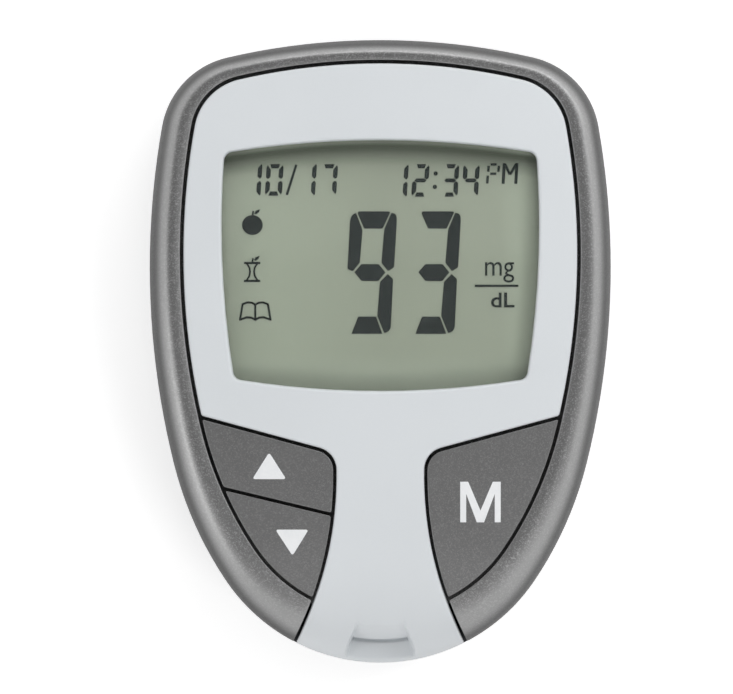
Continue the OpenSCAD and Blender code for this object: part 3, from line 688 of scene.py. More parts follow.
def notch_height(x, v, skin):
    """Height of the surface at a place of the layout: the skin, sunk where the notch is."""
    y = row_y(v)
    across = abs(x)
    if y > NOTCH_START_Y or across > NOTCH_OUTSIDE:
        return skin
    width = NOTCH_WALL_HALF + 0.04 * max(SLOT_Y - y, 0.0)
    side = NOTCH_FLOOR + SIDE_RISE * (across - NOTCH_TOP_HALF + width) / width
    behind = y - SLOT_Y
    if behind > 0:
        back = SLOT_TOP + BACK_SLOPE * behind
        if behind < FOOT_ROUND:
            back -= FOOT_DEEP * (1 - math.sqrt(1 - (1 - behind / FOOT_ROUND) ** 2))
        well = higher_of(side, back, 1.8)
    else:
        well = higher_of(side, NOTCH_FLOOR - SILL * (1 - eased(-behind, 0.0, 0.4)), 0.7)
    soft = 0.9 + 1.5 * eased(across, 2.3, 2.9)
    if behind < -1.5:
        soft += (0.7 - soft) * eased(-behind, 1.5, 2.6)
    return min(lower_of(skin, well, soft), skin)


# ---- face sheet

FACE_THICK = 1.1
HALF_FACE = 25.0
LAID_LOW_Y = -45.5
LAID_TOP_Y = 36.0
SLOT_WIDE = 6.7
SLOT_DEEP = 3.0
SLOT_MIDDLE_Y = -34.9


def face_outline():
    """Half of the face sheet's flat layout with half of its window, and the corner that gets rounded."""
    grown = KEY_RADIUS + GROOVE / 2
    stop = line_turn(shoulder, -GROOVE / 2, SHOULDER_SPAN)
    turns = [t for t in stops(BODY_TURNS, BODY_STEPS) if t < stop - 0.3] + [stop]
    edge = [tuple(FACE_IN.at(t)) for t in turns]
    corner = edge[-1]
    edge += corner_arc(GROOVE / 2)
    edge += circle_run(edge[-1], FACE.at(circle_turn(FACE.at, grown)).y, grown, 12)
    for k in range(1, 15):
        rise = 90 - 90 * k / 14
        edge.append(laid_flat(circle_turn(lambda turn: edge_point(turn, rise), grown), rise))
    end = circle_turn(BODY.at, grown)
    edge += [laid_flat(end + (180 - end) * k / 24, 0) for k in range(1, 25)]
    edge += [tuple(WINDOW.at(t)) for t in reversed(stops(WINDOW_TURNS, WINDOW_STEPS))]
    return [(0.0 if abs(x) < 0.02 else x, y) for x, y in edge], corner


def by_the_notch(f):
    middle = f.calc_center_median()
    return middle.x < (NOTCH_REACH + 0.5) * MM and middle.y < -32 * MM


def face_sheet(look):
    """The face: half of it is laid out flat and ruled, mirrored, then rolled over the case."""
    outline, corner = face_outline()
    piece = drawn_plate("face_sheet", outline)
    round_corners(piece, [corner], 0.25, 4)
    thicken(piece, -FACE_THICK)
    soften_top(piece, 0.32)
    edit(piece)
    pick(piece, "FACE", lambda f: all(abs(v.co.x) < TINY for v in f.verts))
    bpy.ops.mesh.delete(type="ONLY_FACE")
    done()
    rule(piece, 0, 0.0, HALF_FACE, 1.0)
    rule(piece, 1, LAID_LOW_Y, LAID_TOP_Y, 0.8)
    cut_rows(piece, 1, notch_rows(), by_the_notch)
    cut_rows(piece, 0, notch_columns(), by_the_notch)
    for vertex in piece.data.vertices:
        if abs(vertex.co.x) < 0.01 * MM:
            vertex.co.x = 0.0
    modify(piece, "MIRROR", use_axis=(True, False, False), use_clip=True, merge_threshold=0.002 * MM)
    for vertex in piece.data.vertices:
        x0, v0, deep = (c / MM for c in vertex.co)
        place, normal = rolled(*notch_place(x0, v0))
        sunk = notch_height(x0, v0, place.z) - place.z
        place = place + normal * deep
        place.z += sunk
        if deep < -FACE_THICK + 0.01 and v0 > NOSE_BEND_Y:
            place.z = min(place.z, LENS_TOP + 0.02)
        vertex.co = place * MM
    close_up(piece)
    low = NOTCH_FLOOR + 0.02
    slot = block((0, SLOT_MIDDLE_Y, (low + SLOT_TOP) / 2), (SLOT_WIDE, SLOT_DEEP, SLOT_TOP - low))
    cut_away(piece, slot)
    even_shading(piece)
    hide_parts("faceplate")
    dress(piece, look, "meter")


# ---- keys

KEY_THICK = 2.5
PRINT_THICK = 0.08
PRINT_LIFT = 0.04
STEM_Z = 14.2
STEM_RADIUS = 1.5
STEM_HEIGHT = 3.0


def split_end(radius, gap):
    """Where the line between the two left keys comes to the key circle."""
    def on_circle(y):
        return KEY_MIDDLE[0] - math.sqrt(radius ** 2 - (y - KEY_MIDDLE[1]) ** 2)

    y = root(lambda y: y - split(on_circle(y), gap), -26.0, -16.0)
    return (on_circle(y), y)


def key_outline(part):
    """The plan of a key on the right-hand side, and the corners that get rounded."""
    g = GROOVE / 2
    near = KEY_RADIUS - g
    first = line_turn(split, -g, SPLIT_SPAN) if part == "low" else line_turn(shoulder, g, SHOULDER_SPAN)
    last = line_turn(split, g, SPLIT_SPAN) if part == "up" else circle_turn(FACE_IN.at, near)
    outer = [tuple(FACE_IN.at(first + (last - first) * k / 16)) for k in range(17)]
    corners = [outer[0], outer[-1]]
    if part == "low":
        inner = [split_end(near, -g)]
        inner += circle_run(inner[0], outer[-1][1], near, 8)[:-1]
        corners.append(inner[0])
    elif part == "up":
        inner = corner_arc(-g)
        inner += circle_run(inner[-1], split_end(near, g)[1], near, 6)
        corners.append(inner[-1])
    else:
        inner = corner_arc(-g)
        inner += circle_run(inner[-1], outer[-1][1], near, 12)[:-1]
    return inner + outer[::-1], corners


def ruled(piece, outline, pitch):
    for axis in (0, 1):
        along = [place[axis] for place in outline]
        rule(piece, axis, min(along), max(along), pitch)


def bend_to_crown(piece, lift=0.0):
    """Bends a flat key or mark to the crown of the keys; a key's foot stays flat on its flange."""
    for vertex in piece.data.vertices:
        x, y, deep = (c / MM for c in vertex.co)
        z = crown(x, y) - KEY_DROP + deep + lift
        if deep < -KEY_THICK + 0.1:
            z = KEY_FLANGE_Z
        vertex.co = in_metres((x, y, z))


def key_cap(name, part, side, look, body, node):
    outline, corners = ([(side * x, y) for x, y in places] for places in key_outline(part))
    piece = drawn_plate(name, outline)
    round_corners(piece, corners, 0.25, 3)
    thicken(piece, -KEY_THICK)
    soften_top(piece, 0.28)
    ruled(piece, outline, 1.2)
    bend_to_crown(piece)
    pillar((*STEMS[body], STEM_Z), STEM_RADIUS, STEM_HEIGHT, 40)
    stem = bevelled(named(name + "_stem"), 0.2, 2, 40)
    piece = joined(name, [piece, stem])
    even_shading(piece)
    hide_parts(node)
    dress(piece, look, body)


def printed(name, shape, look, body, pitch=1.0, corner=0.0):
    """A mark printed on a key: thin, and bent to the key's crown."""
    piece = drawn_plate(name, shape)
    if corner:
        round_corners(piece, shape, corner, 4)
    thicken(piece, -PRINT_THICK)
    ruled(piece, shape, pitch)
    bend_to_crown(piece, PRINT_LIFT)
    smooth(piece, 30)
    dress(piece, look, body)


def key_marks(look):
    printed("up_arrow", [(-13.68, -12.40), (-11.58, -15.70), (-15.76, -15.70)], look, "up_key", corner=0.34)
    printed("down_arrow", [(-12.92, -21.92), (-8.82, -21.92), (-10.81, -25.14)], look, "down_key",
            corner=0.34)
    top, low, left, right, w = -16.02, -21.02, 9.83, 14.82, 0.74
    mid = (left + right) / 2
    letter = [
        (left, top), (left + 0.98, top), (mid, low + 1.45), (right - 0.98, top), (right, top), (right, low),
        (right - w, low), (right - w, top - 1.5), (mid + 0.45, low), (mid - 0.45, low), (left + w, top - 1.5),
        (left + w, low), (left, low),
    ]
    printed("memory_letter", letter, look, "memory_key", pitch=1.3)


# ---- display

INK_Z = 19.31
INK_T = 0.06


def dots(x, y):
    """A place of the display's drawing, in millimetres."""
    return ((x - DOT_MIDDLE[0]) * DOT, (DOT_MIDDLE[1] - y) * DOT)


def ink(name, shapes, look, corner=0.0):
    """Display segments: flat shapes of a hair's thickness, on the film under the lens."""
    made = []
    for k, shape in enumerate(shapes):
        piece = drawn_plate(name + str(k), shape, INK_Z)
        if corner:
            round_corners(piece, shape, corner, 2)
        thicken(piece, INK_T)
        made.append(piece)
    piece = joined(name, made)
    smooth(piece, 30)
    dress(piece, look, "meter")


BIG = {
    "a": [(205, 588), (216, 575), (440, 575), (448, 586), (392, 703), (255, 703)],
    "b": [(456, 586), (480, 590), (495, 606), (498, 640), (478, 990), (432, 1019), (383, 958), (403, 712)],
    "c": [(430, 1040), (470, 1078), (453, 1440), (437, 1466), (404, 1480), (352, 1352), (372, 1100)],
    "d": [(160, 1485), (210, 1357), (343, 1357), (390, 1485)],
    "f": [(194, 584), (243, 713), (223, 955), (170, 1020), (131, 1003), (150, 640), (165, 603)],
    "g": [(182, 1028), (234, 967), (363, 967), (413, 1028), (360, 1093), (236, 1093)],
}
BIG_PLACE = (330, 135)
BIG_SCALE = 7.467
SMALL = {"0": "abcdef", "2": "abged", "3": "abgcd", "4": "fgbc", "7": "abc"}
SMALL_BAR = 4.5
ONE_BAR = 4.3
SLANT = 2.0


def big_digit(parts, across):
    return [[dots(BIG_PLACE[0] + (x + across) / BIG_SCALE, BIG_PLACE[1] + y / BIG_SCALE) for x, y in BIG[p]]
            for p in parts]


def leaned(shape, shift, top, low):
    """A shape in the display's dots, leaned over as the small figures are."""
    mid = (top + low) / 2
    return [dots(x + SLANT * (mid - y) / (low - top) + shift, y) for x, y in shape]


def small_digit(figure, left, right, top, low):
    """A seven-segment figure in the display's dots; left and right take in its slant."""
    left, right = left + SLANT / 2, right - SLANT / 2
    mid, bar, half = (top + low) / 2, SMALL_BAR, SMALL_BAR / 2

    def leg(edge, way, far):
        """One upright from its far end to the middle: edge is its outer side, way points inwards."""
        down = 1.0 if mid > far else -1.0
        places = [(0, far + down * 3.2), (1.1, far + down * 1.1), (bar, far + down * (bar + 1)),
                  (bar, mid - down * (half + 0.6)), (half, mid - down), (0.6, mid - down * 1.9),
                  (0, mid - down * 3.2)]
        return [(edge + way * x, y) for x, y in places]

    def cap(edge, way):
        """The top or bottom bar."""
        inner = edge + way * (bar - 0.3)
        return [(left + 3.6, edge), (right - 3.6, edge),
                (right - bar - 0.4, inner), (left + bar + 0.4, inner)]

    over, under = mid - half + 0.3, mid + half - 0.3
    shapes = {
        "a": cap(top, 1.0),
        "d": cap(low, -1.0),
        "g": [(left + 2.2, mid), (left + half + 1.8, over), (right - half - 1.8, over),
              (right - 2.2, mid), (right - half - 1.8, under), (left + half + 1.8, under)],
        "f": leg(left, 1.0, top),
        "b": leg(right, -1.0, top),
        "e": leg(left, 1.0, low),
        "c": leg(right, -1.0, low),
    }
    return [leaned(shapes[p], 0.0, top, low) for p in SMALL[figure]]


def small_one(right, top, low):
    """The figure 1: two bars, one above the other, their right edge at the given place."""
    mid, left = (top + low) / 2, right - ONE_BAR
    bars = []
    for end, down in ((top, 1), (low, -1)):
        bars.append([(left, end + down * 4), (right - 1.2, end), (right, end + down),
                     (right, mid - down * 3), (right - 1.6, mid - down * 0.9), (left, mid - down * 3.4)])
    return [leaned(shape, -SLANT / 2, top, low) for shape in bars]


def bar_dots(a, b, width):
    """A straight bar in the display's dots."""
    a, b = Vector(a), Vector(b)
    way = (b - a).normalized()
    side = Vector((-way.y, way.x)) * width / 2
    return [dots(*p) for p in (a + side, b + side, b - side, a - side)]


def disc(x, y, r, sides, flat=1.0):
    turns = [2 * math.pi * k / sides for k in range(sides)]
    return [dots(x + r * math.cos(t), y + flat * r * math.sin(t)) for t in turns]


def line_drawn(places, width):
    """A line of bars through the places, with a round dot at each bend."""
    shapes = [bar_dots(a, b, width) for a, b in zip(places, places[1:])]
    return shapes + [disc(x, y, width / 2, 10) for x, y in places]


def words(name, text, left, right, top, low, look, weight):
    """Small generic letters of the display, set to a height and width."""
    clear_picks()
    bpy.ops.object.text_add(location=(0, 0, 0))
    letters = bpy.context.object.data
    letters.body = text
    letters.offset = weight
    letters.extrude = 0.01
    bpy.ops.object.convert(target="MESH")
    piece = named(name)
    xs = [v.co.x for v in piece.data.vertices]
    ys = [v.co.y for v in piece.data.vertices]
    x0, y0 = dots(left, low)
    x1, y1 = dots(right, top)
    for v in piece.data.vertices:
        x = x0 + (v.co.x - min(xs)) / (max(xs) - min(xs)) * (x1 - x0)
        y = y0 + (v.co.y - min(ys)) / (max(ys) - min(ys)) * (y1 - y0)
        v.co = in_metres((x, y, INK_Z + (INK_T if v.co.z > 0 else 0.0)))
    close_up(piece, 0.0005)
    dress(piece, look, "meter")


def display_figures(look):
    ink("reading_figures", big_digit("abcdfg", 0) + big_digit("abcdg", 475), look, 0.06)
    date = small_one(263.0, 165.0, 196.2)
    date += small_digit("0", 265.2, 284.2, 165.0, 196.4)
    date.append(bar_dots((287.2, 195.6), (296.6, 165.6), 2.5))
    date += small_one(317.2, 165.0, 196.0)
    date += small_digit("7", 319.0, 338.3, 165.0, 196.0)
    ink("date_figures", date, look)
    clock = small_one(408.6, 165.6, 197.2)
    clock += small_digit("2", 411.0, 429.4, 165.0, 197.4)
    clock += [disc(435.3, 174.3, 2.2, 12), disc(434.5, 187.6, 2.2, 12)]
    clock += small_digit("3", 440.6, 459.0, 165.0, 197.4)
    clock += small_digit("4", 461.0, 479.4, 165.0, 197.4)
    ink("clock_figures", clock, look)
    # PM: the first letter from segments, the second from strokes
    ink("afternoon_letters", [bar_dots(*stroke) for stroke in (
        ((490.0, 165.3), (496.0, 165.3), 2.5),
        ((498.3, 166.6), (497.6, 172.6), 2.5),
        ((489.6, 174.6), (495.6, 174.6), 2.5),
        ((488.0, 166.6), (487.6, 172.6), 2.5),
        ((487.2, 176.4), (486.6, 184.2), 2.5),
        ((503.6, 164.0), (502.4, 184.6), 3.1),
        ((516.2, 164.0), (515.0, 184.6), 3.1),
        ((504.2, 165.0), (509.2, 175.4), 2.7),
        ((509.2, 175.4), (515.4, 165.0), 2.7),
    )], look)
    words("unit_upper", "mg", 484.4, 513.4, 262.4, 282.8, look, 0.0)
    words("unit_lower", "dL", 490.4, 513.8, 292.8, 307.6, look, 0.014)
    ink("unit_line", [bar_dots((474.2, 286.1), (517.6, 286.1), 2.3)], look)


def drawn_dots(places):
    return [dots(x, y) for x, y in places]


def meal_signs(look):
    """Three small signs of a plain kind: a round fruit, an eaten fruit and an open book."""
    ink("whole_fruit_sign", [
        disc(252.9, 225.6, 10.3, 32, 0.96),
        bar_dots((253.0, 217.0), (253.8, 211.6), 1.8),
        drawn_dots([(254.6, 214.4), (256.4, 211.2), (260.8, 209.8), (259.4, 213.0), (256.8, 215.0)]),
    ], look)
    core = [bar_dots((244.6, 263.4), (260.8, 263.4), 2.2),
            bar_dots((244.4, 281.2), (260.8, 281.2), 2.2)]
    middle, waist = 252.6, [(5.0, 264.2), (2.6, 268.0), (2.0, 272.2), (2.8, 276.6), (5.4, 280.6)]
    for side in (-1, 1):
        core += line_drawn([(middle + side * x, y) for x, y in waist], 1.8)
    core.append(bar_dots((252.8, 262.6), (253.6, 258.6), 1.7))
    leaf = [(254.4, 260.6), (256.2, 257.6), (260.2, 256.2), (258.8, 259.4), (256.4, 261.2)]
    core.append(drawn_dots(leaf))
    ink("eaten_fruit_sign", core, look)
    spine = 255.8
    book = [bar_dots((spine, 305.0), (spine, 319.6), 2.1)]
    page = [(0.0, 305.0), (3.2, 303.0), (7.6, 302.6), (12.6, 304.4), (15.2, 319.8)]
    foot = [(0.0, 320.0), (3.6, 317.8), (8.4, 317.4), (15.0, 319.8)]
    for side in (-1, 1):
        for line in (page, foot):
            book += line_drawn([(spine + side * x, y) for x, y in line], 2.1)
    ink("book_sign", book, look)


# ---- finishes

FLAKE_SCALE = 8200.0
# colours of the painted highlight and the painted edge shade that the flake paint mixes in by facing
FLAKE_PAINTED_SHEEN = (236, 236, 236)
FLAKE_PAINTED_EDGE_SHADE = (58, 58, 58)
# bow of the window's top and side edges, along which the display film's painted shadow and painted dark line
# are bent: a parabola's factor, in metres
TOP_BOW = 4.27
SIDE_BOW = 4.31


def shade(r, g, b):
    """A colour given as 0 to 255 display values."""
    def linear(c):
        c /= 255
        return c / 12.92 if c <= 0.04045 else ((c + 0.055) / 1.055) ** 2.4
    return (linear(r), linear(g), linear(b), 1.0)


def feed(tree, made, inputs):
    """Gives each input its number or colour, or joins another node's output to it."""
    for place, value in inputs.items():
        if isinstance(value, bpy.types.NodeSocket):
            tree.links.new(value, made.inputs[place])
        else:
            made.inputs[place].default_value = value


def node(tree, kind, inputs=None, **settings):
    made = tree.nodes.new("ShaderNode" + kind)
    for key, value in settings.items():
        setattr(made, key, value)
    feed(tree, made, inputs or {})
    return made


def maths(tree, operation, *values):
    return node(tree, "Math", dict(enumerate(values)), operation=operation).outputs[0]


def times(tree, a, b):
    return maths(tree, "MULTIPLY", a, b)


def plus(tree, a, b):
    return maths(tree, "ADD", a, b)


def vector_step(tree, operation, inputs):
    return node(tree, "VectorMath", inputs, operation=operation).outputs[0]


def mixed(tree, share, a, b):
    return node(tree, "Mix", {0: share, 6: a, 7: b}, data_type="RGBA").outputs[2]


def ranged(tree, value, low, high, to_low=0.0, to_high=1.0, smoothed=False):
    way = "SMOOTHSTEP" if smoothed else "LINEAR"
    values = dict(enumerate((value, low, high, to_low, to_high)))
    return node(tree, "MapRange", values, interpolation_type=way).outputs[0]


def own_place(tree):
    """Coordinates that stay with the piece."""
    return node(tree, "TexCoord").outputs["Object"]


def noise(tree, place, scale, detail=2.0, rough=0.5):
    settings = {"Vector": place, "Scale": scale, "Detail": detail, "Roughness": rough}
    return node(tree, "TexNoise", settings).outputs[0]


def cells(tree, place, scale):
    return node(tree, "TexVoronoi", {"Vector": place, "Scale": scale}).outputs


def along_axes(tree, place):
    return node(tree, "SeparateXYZ", {0: place}).outputs


def group_start(name, colours, numbers, last, last_kind="Float"):
    """A shader group that takes colours and numbers and gives a colour, a roughness and a last output."""
    group = bpy.data.node_groups.new(name, "ShaderNodeTree")
    sockets = [("INPUT", label, "Color") for label in colours]
    sockets += [("INPUT", label, "Float") for label in numbers]
    sockets += [("OUTPUT", "Colour", "Color"), ("OUTPUT", "Roughness", "Float"), ("OUTPUT", last, last_kind)]
    for way, label, kind in sockets:
        group.interface.new_socket(name=label, in_out=way, socket_type="NodeSocket" + kind)
    return group, group.nodes.new("NodeGroupInput").outputs, group.nodes.new("NodeGroupOutput")


def moulded_group():
    """Moulded plastic: a slow mottle of two tones, a fine spark texture, and roughness that follows both."""
    group, give, put = group_start("moulded_surface", ("Tone", "Second Tone"),
                                   ("Mottle Scale", "Grain Scale", "Smoothest", "Roughest"), "Height")
    place = own_place(group)
    mottle = noise(group, place, give["Mottle Scale"], 3.0, 0.55)
    grain = noise(group, place, give["Grain Scale"], 2.0, 0.6)
    patch = ranged(group, mottle, 0.32, 0.68, smoothed=True)
    speck = ranged(group, grain, 0.3, 0.7)
    share = plus(group, times(group, patch, 0.7), times(group, speck, 0.3))
    feed(group, put, {
        "Colour": mixed(group, share, give["Tone"], give["Second Tone"]),
        "Roughness": ranged(group, speck, 0.0, 1.0, give["Smoothest"], give["Roughest"]),
        "Height": plus(group, grain, times(group, mottle, 0.4)),
    })
    return group


def flake_group():
    """Metallic paint: fine flakes that each tip the surface a little and differ in brightness."""
    group, give, put = group_start("metal_flake_paint", ("Tone", "Bright Tone"),
                                   ("Flake Scale", "Tilt", "Smoothest", "Roughest"), "Normal", "Vector")
    place = own_place(group)
    flakes = cells(group, place, give["Flake Scale"])["Color"]
    parts = node(group, "SeparateColor", {0: flakes}).outputs
    shine = maths(group, "POWER", ranged(group, parts[0], 0.35, 1.0), 2.0)
    cloud = ranged(group, noise(group, place, 140.0, 3.0, 0.5), 0.3, 0.7, 0.0, 0.14)
    tone = mixed(group, shine, give["Tone"], give["Bright Tone"])
    centred = vector_step(group, "SUBTRACT", {0: flakes, 1: (0.5, 0.5, 0.5)})
    tip = vector_step(group, "SCALE", {0: centred, "Scale": give["Tilt"]})
    tipped = vector_step(group, "ADD", {0: node(group, "NewGeometry").outputs["Normal"], 1: tip})
    feed(group, put, {
        "Colour": mixed(group, cloud, tone, give["Bright Tone"]),
        "Roughness": ranged(group, parts[1], 0.0, 1.0, give["Smoothest"], give["Roughest"]),
        "Normal": vector_step(group, "NORMALIZE", {0: tipped}),
    })
    return group


def worked_metal_group():
    """Rolled, drawn or plated metal: fine lines along one way, with patches that are duller."""
    group, give, put = group_start("worked_metal", ("Tone", "Dull Tone"),
                                   ("Line Scale", "Smoothest", "Roughest"), "Height")
    place = own_place(group)
    stretched = node(group, "Mapping", {"Vector": place, "Scale": (1.0, 0.06, 1.0)}).outputs[0]
    lines = noise(group, stretched, give["Line Scale"], 3.0, 0.6)
    patch = noise(group, place, 260.0, 3.0, 0.5)
    share = plus(group, ranged(group, lines, 0.3, 0.7, 0.0, 0.5), ranged(group, patch, 0.35, 0.65, 0.0, 0.5))
    feed(group, put, {
        "Colour": mixed(group, share, give["Tone"], give["Dull Tone"]),
        "Roughness": ranged(group, share, 0.0, 1.0, give["Smoothest"], give["Roughest"]),
        "Height": lines,
    })
    return group


MOULDED = moulded_group()
FLAKE = flake_group()
WORKED = worked_metal_group()


def look_start(name):
    look = bpy.data.materials.new(name)
    look.use_nodes = True
    return look, look.node_tree, look.node_tree.nodes["Principled BSDF"]


def coated(tree, shader, group, *values):
    """Places a shader group with the values of its inputs, and joins its colour and roughness."""
    made = node(tree, "Group", node_tree=group)
    feed(tree, made, dict(enumerate(values)))
    feed(tree, shader, {"Base Color": made.outputs["Colour"], "Roughness": made.outputs["Roughness"]})
    return made.outputs


def bumped(tree, shader, height, strength, distance):
    bump = node(tree, "Bump", {"Strength": strength, "Distance": distance * MM, "Height": height})
    feed(tree, shader, {"Normal": bump.outputs[0]})


def moulded(name, tone, second, smoothest, roughest, grain=2500.0, mottle=90.0, bump=0.25, deep=0.02,
            specular=0.5):
    look, tree, shader = look_start(name)
    made = coated(tree, shader, MOULDED, shade(*tone), shade(*second), mottle, grain, smoothest, roughest)
    bumped(tree, shader, made["Height"], bump, deep)
    shader.inputs["Specular IOR Level"].default_value = specular
    return look


def flake_paint(name, tone, bright, tilt, smoothest, roughest, metallic, painted_sheen, edge):
    """Flake paint with painted light mixed in by facing: a painted highlight where the surface turns from the
    view, and painted shade where it is seen edge on.
    """
    look, tree, shader = look_start(name)
    made = coated(tree, shader, FLAKE, shade(*tone), shade(*bright), FLAKE_SCALE, tilt, smoothest, roughest)
    # Painted light by facing: a painted highlight where the surface turns from the view, and painted shade
    # where it is seen edge on.
    facing = node(tree, "LayerWeight", {"Blend": 0.5}).outputs["Facing"]
    painted_sheen_share = ranged(tree, facing, 0.02, 0.20, 0.0, painted_sheen, smoothed=True)
    painted_edge_shade_share = ranged(tree, facing, 0.26, 0.76, 0.0, edge, smoothed=True)
    colour = mixed(tree, painted_sheen_share, made["Colour"], shade(*FLAKE_PAINTED_SHEEN))
    # painted shade where the surface is seen edge on
    colour = mixed(tree, painted_edge_shade_share, colour, shade(*FLAKE_PAINTED_EDGE_SHADE))
    feed(tree, shader, {"Base Color": colour, "Normal": made["Normal"], "Metallic": metallic})
    return look


def metal(name, tone, dull, smoothest, roughest, lines=900.0):
    look, tree, shader = look_start(name)
    made = coated(tree, shader, WORKED, shade(*tone), shade(*dull), lines, smoothest, roughest)
    bumped(tree, shader, made["Height"], 0.1, 0.01)
    shader.inputs["Metallic"].default_value = 1.0
    return look


def clear(name, tone, roughness, index):
    """Clear acrylic or glass: light goes through it to what lies below."""
    look, tree, shader = look_start(name)
    scuff = noise(tree, own_place(tree), 1400.0)
    feed(tree, shader, {
        "Roughness": ranged(tree, scuff, 0.3, 0.7, roughness * 0.5, roughness * 1.5),
        "Base Color": shade(*tone), "Transmission Weight": 1.0, "IOR": index})
    through = node(tree, "BsdfTransparent", {"Color": shade(*tone)})
    shadow = node(tree, "LightPath").outputs["Is Shadow Ray"]
    both = node(tree, "MixShader", {0: shadow, 1: shader.outputs[0], 2: through.outputs[0]})
    feed(tree, tree.nodes["Material Output"], {"Surface": both.outputs[0]})
    return look


def display_film():
    """The display's grey green ground with the liquid crystal's grain, and painted light and shade: a painted
    shadow under the window's top edge, a painted dark line along its right edge, painted shade along its far
    left edge, painted light at the left, right and bottom where the window's walls shade it, and a darker
    tone below the middle.
    """
    look, tree, shader = look_start("display_film")
    place = own_place(tree)
    x, y, _ = along_axes(tree, place)
    grain = noise(tree, place, 1800.0, 2.0, 0.6)
    # The next three lines shape the painted shadow under the window's curved top edge, and a lighter painted
    # line at its very top that stands in for the lit window wall.
    lifted = plus(tree, y, times(tree, times(tree, x, x), TOP_BOW))
    painted_top_shadow = maths(tree, "POWER", ranged(tree, lifted, 0.0228, 0.0250), 1.15)
    wall = ranged(tree, lifted, 0.0253, 0.0260, 0.95, 0.0475, smoothed=True)
    # distance in from the window's bowed right edge, for the painted dark line of shade along it
    climb = maths(tree, "SUBTRACT", y, 0.0106)
    swung = plus(tree, x, times(tree, times(tree, climb, climb), SIDE_BOW))
    tone = shade(131, 136, 122)
    # The steps below, in order: painted light and shade across the width, painted shade at the far left edge,
    # painted light near the right edge and over the bottom, a darker tone below the middle, the crystal's own
    # grain, a painted dark line at the right edge, and the painted shadow under the top edge.
    for share, colour in (
        # painted light: lighter at the left, where the window's wall shades it, than at the middle
        (ranged(tree, x, -0.0145, 0.0), (122, 126, 113)),
        (ranged(tree, x, 0.0, 0.018), (127, 131, 118)),
        # painted shade along the far left edge
        (ranged(tree, x, -0.0165, -0.0188), (128, 132, 119)),
        # painted light near the right edge, where the window's wall shades it
        (ranged(tree, x, 0.0146, 0.0170), (138, 143, 129)),
        # painted light over the bottom, where the window's wall shades it
        (ranged(tree, y, 0.0005, -0.0040, smoothed=True), (134, 139, 126)),
        # darker below the middle
        (ranged(tree, y, 0.0150, 0.0085, 0.0, 0.12, smoothed=True), (98, 104, 88)),
        # the liquid crystal's own grain
        (ranged(tree, grain, 0.3, 0.7, 0.0, 0.25), (123, 128, 113)),
        # painted shade: a dark line along the right edge
        (ranged(tree, swung, 0.0188, 0.0199, 0.0, 0.25, smoothed=True), (64, 68, 58)),
        # painted shadow under the top edge, less dark in a thin line at the very top that stands in for the
        # lit window wall
        (times(tree, painted_top_shadow, wall), (70, 74, 64)),
    ):
        tone = mixed(tree, share, tone, shade(*colour))
    rough = ranged(tree, grain, 0.3, 0.7, 0.5, 0.7)
    feed(tree, shader, {"Base Color": tone, "Roughness": rough, "Specular IOR Level": 0.1})
    return look


def solder_resist():
    """Green board: copper tracks under the resist, with tinned through holes."""
    look, tree, shader = look_start("solder_resist")
    place = own_place(tree)
    bricks = node(tree, "TexBrick", {
        "Vector": place, "Scale": 420.0, "Mortar Size": 0.035, "Brick Width": 1.7, "Row Height": 0.42})
    tracks = ranged(tree, bricks.outputs["Fac"], 0.2, 0.8)
    holes = ranged(tree, cells(tree, place, 330.0)["Distance"], 0.12, 0.16, 1.0, 0.0)
    grain = noise(tree, place, 900.0)
    tone = mixed(tree, ranged(tree, grain, 0.3, 0.7), shade(28, 92, 58), shade(22, 78, 50))
    tone = mixed(tree, tracks, tone, shade(46, 128, 78))
    tone = mixed(tree, holes, tone, shade(198, 196, 186))
    rough = ranged(tree, grain, 0.3, 0.7, 0.28, 0.42)
    feed(tree, shader, {"Base Color": tone, "Roughness": rough, "Metallic": holes})
    bumped(tree, shader, plus(tree, tracks, holes), 0.3, 0.03)
    return look


def layered_rubber():
    """Zebra strip: fine conducting layers across clear silicone."""
    look, tree, shader = look_start("zebra_rubber")
    place = own_place(tree)
    waves = node(tree, "TexWave", {"Vector": place, "Scale": 900.0}, bands_direction="X").outputs["Fac"]
    tone = mixed(tree, ranged(tree, waves, 0.45, 0.55), shade(196, 190, 188), shade(44, 42, 44))
    rough = ranged(tree, noise(tree, place, 2000.0), 0.3, 0.7, 0.5, 0.7)
    feed(tree, shader, {"Base Color": tone, "Roughness": rough})
    bumped(tree, shader, waves, 0.2, 0.01)
    return look


# ---- CAD pieces that stay

def cad_look(name, look):
    """Gives a CAD piece its finish and smooth shading; its shape stays as it is."""
    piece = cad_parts[name]
    piece.data.materials.clear()
    piece.data.materials.append(look)
    for polygon in piece.data.polygons:
        polygon.use_smooth = True
    piece.modifiers.new("weld", "WELD").merge_threshold = 0.0005 * MM
    piece.modifiers.new("split", "EDGE_SPLIT").split_angle = math.radians(30)


# ---- snap domes

DOME_SHEET = 0.1
DOME_FOOT = 0.09


def snap_dome(node_name, look):
    """A shallow spring steel cap on the board, of the kind that snaps flat under its key; it is built here at
    rest.
    """
    low, high = (Vector(c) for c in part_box(node_name))
    middle = (low + high) / 2
    wide, tall = (high.x - low.x) / 2, high.z - low.z
    radius = (wide * wide + tall * tall) / (2 * tall)
    clear_picks()
    bpy.ops.mesh.primitive_uv_sphere_add(
        segments=48, ring_count=96, radius=radius, location=(middle.x, middle.y, high.z - radius))
    piece = settled()
    named(node_name.replace("dome", "snap_dome"))
    edit(piece)
    bpy.ops.mesh.bisect(plane_co=(0, 0, low.z + DOME_FOOT * MM), plane_no=(0, 0, 1), clear_inner=True)
    done()
    modify(piece, "SOLIDIFY", thickness=DOME_SHEET * MM, offset=-1.0)
    smooth(piece, 40)
    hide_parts(node_name)
    dress(piece, look, "meter")
    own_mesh(piece)


# ---- light, floor and camera

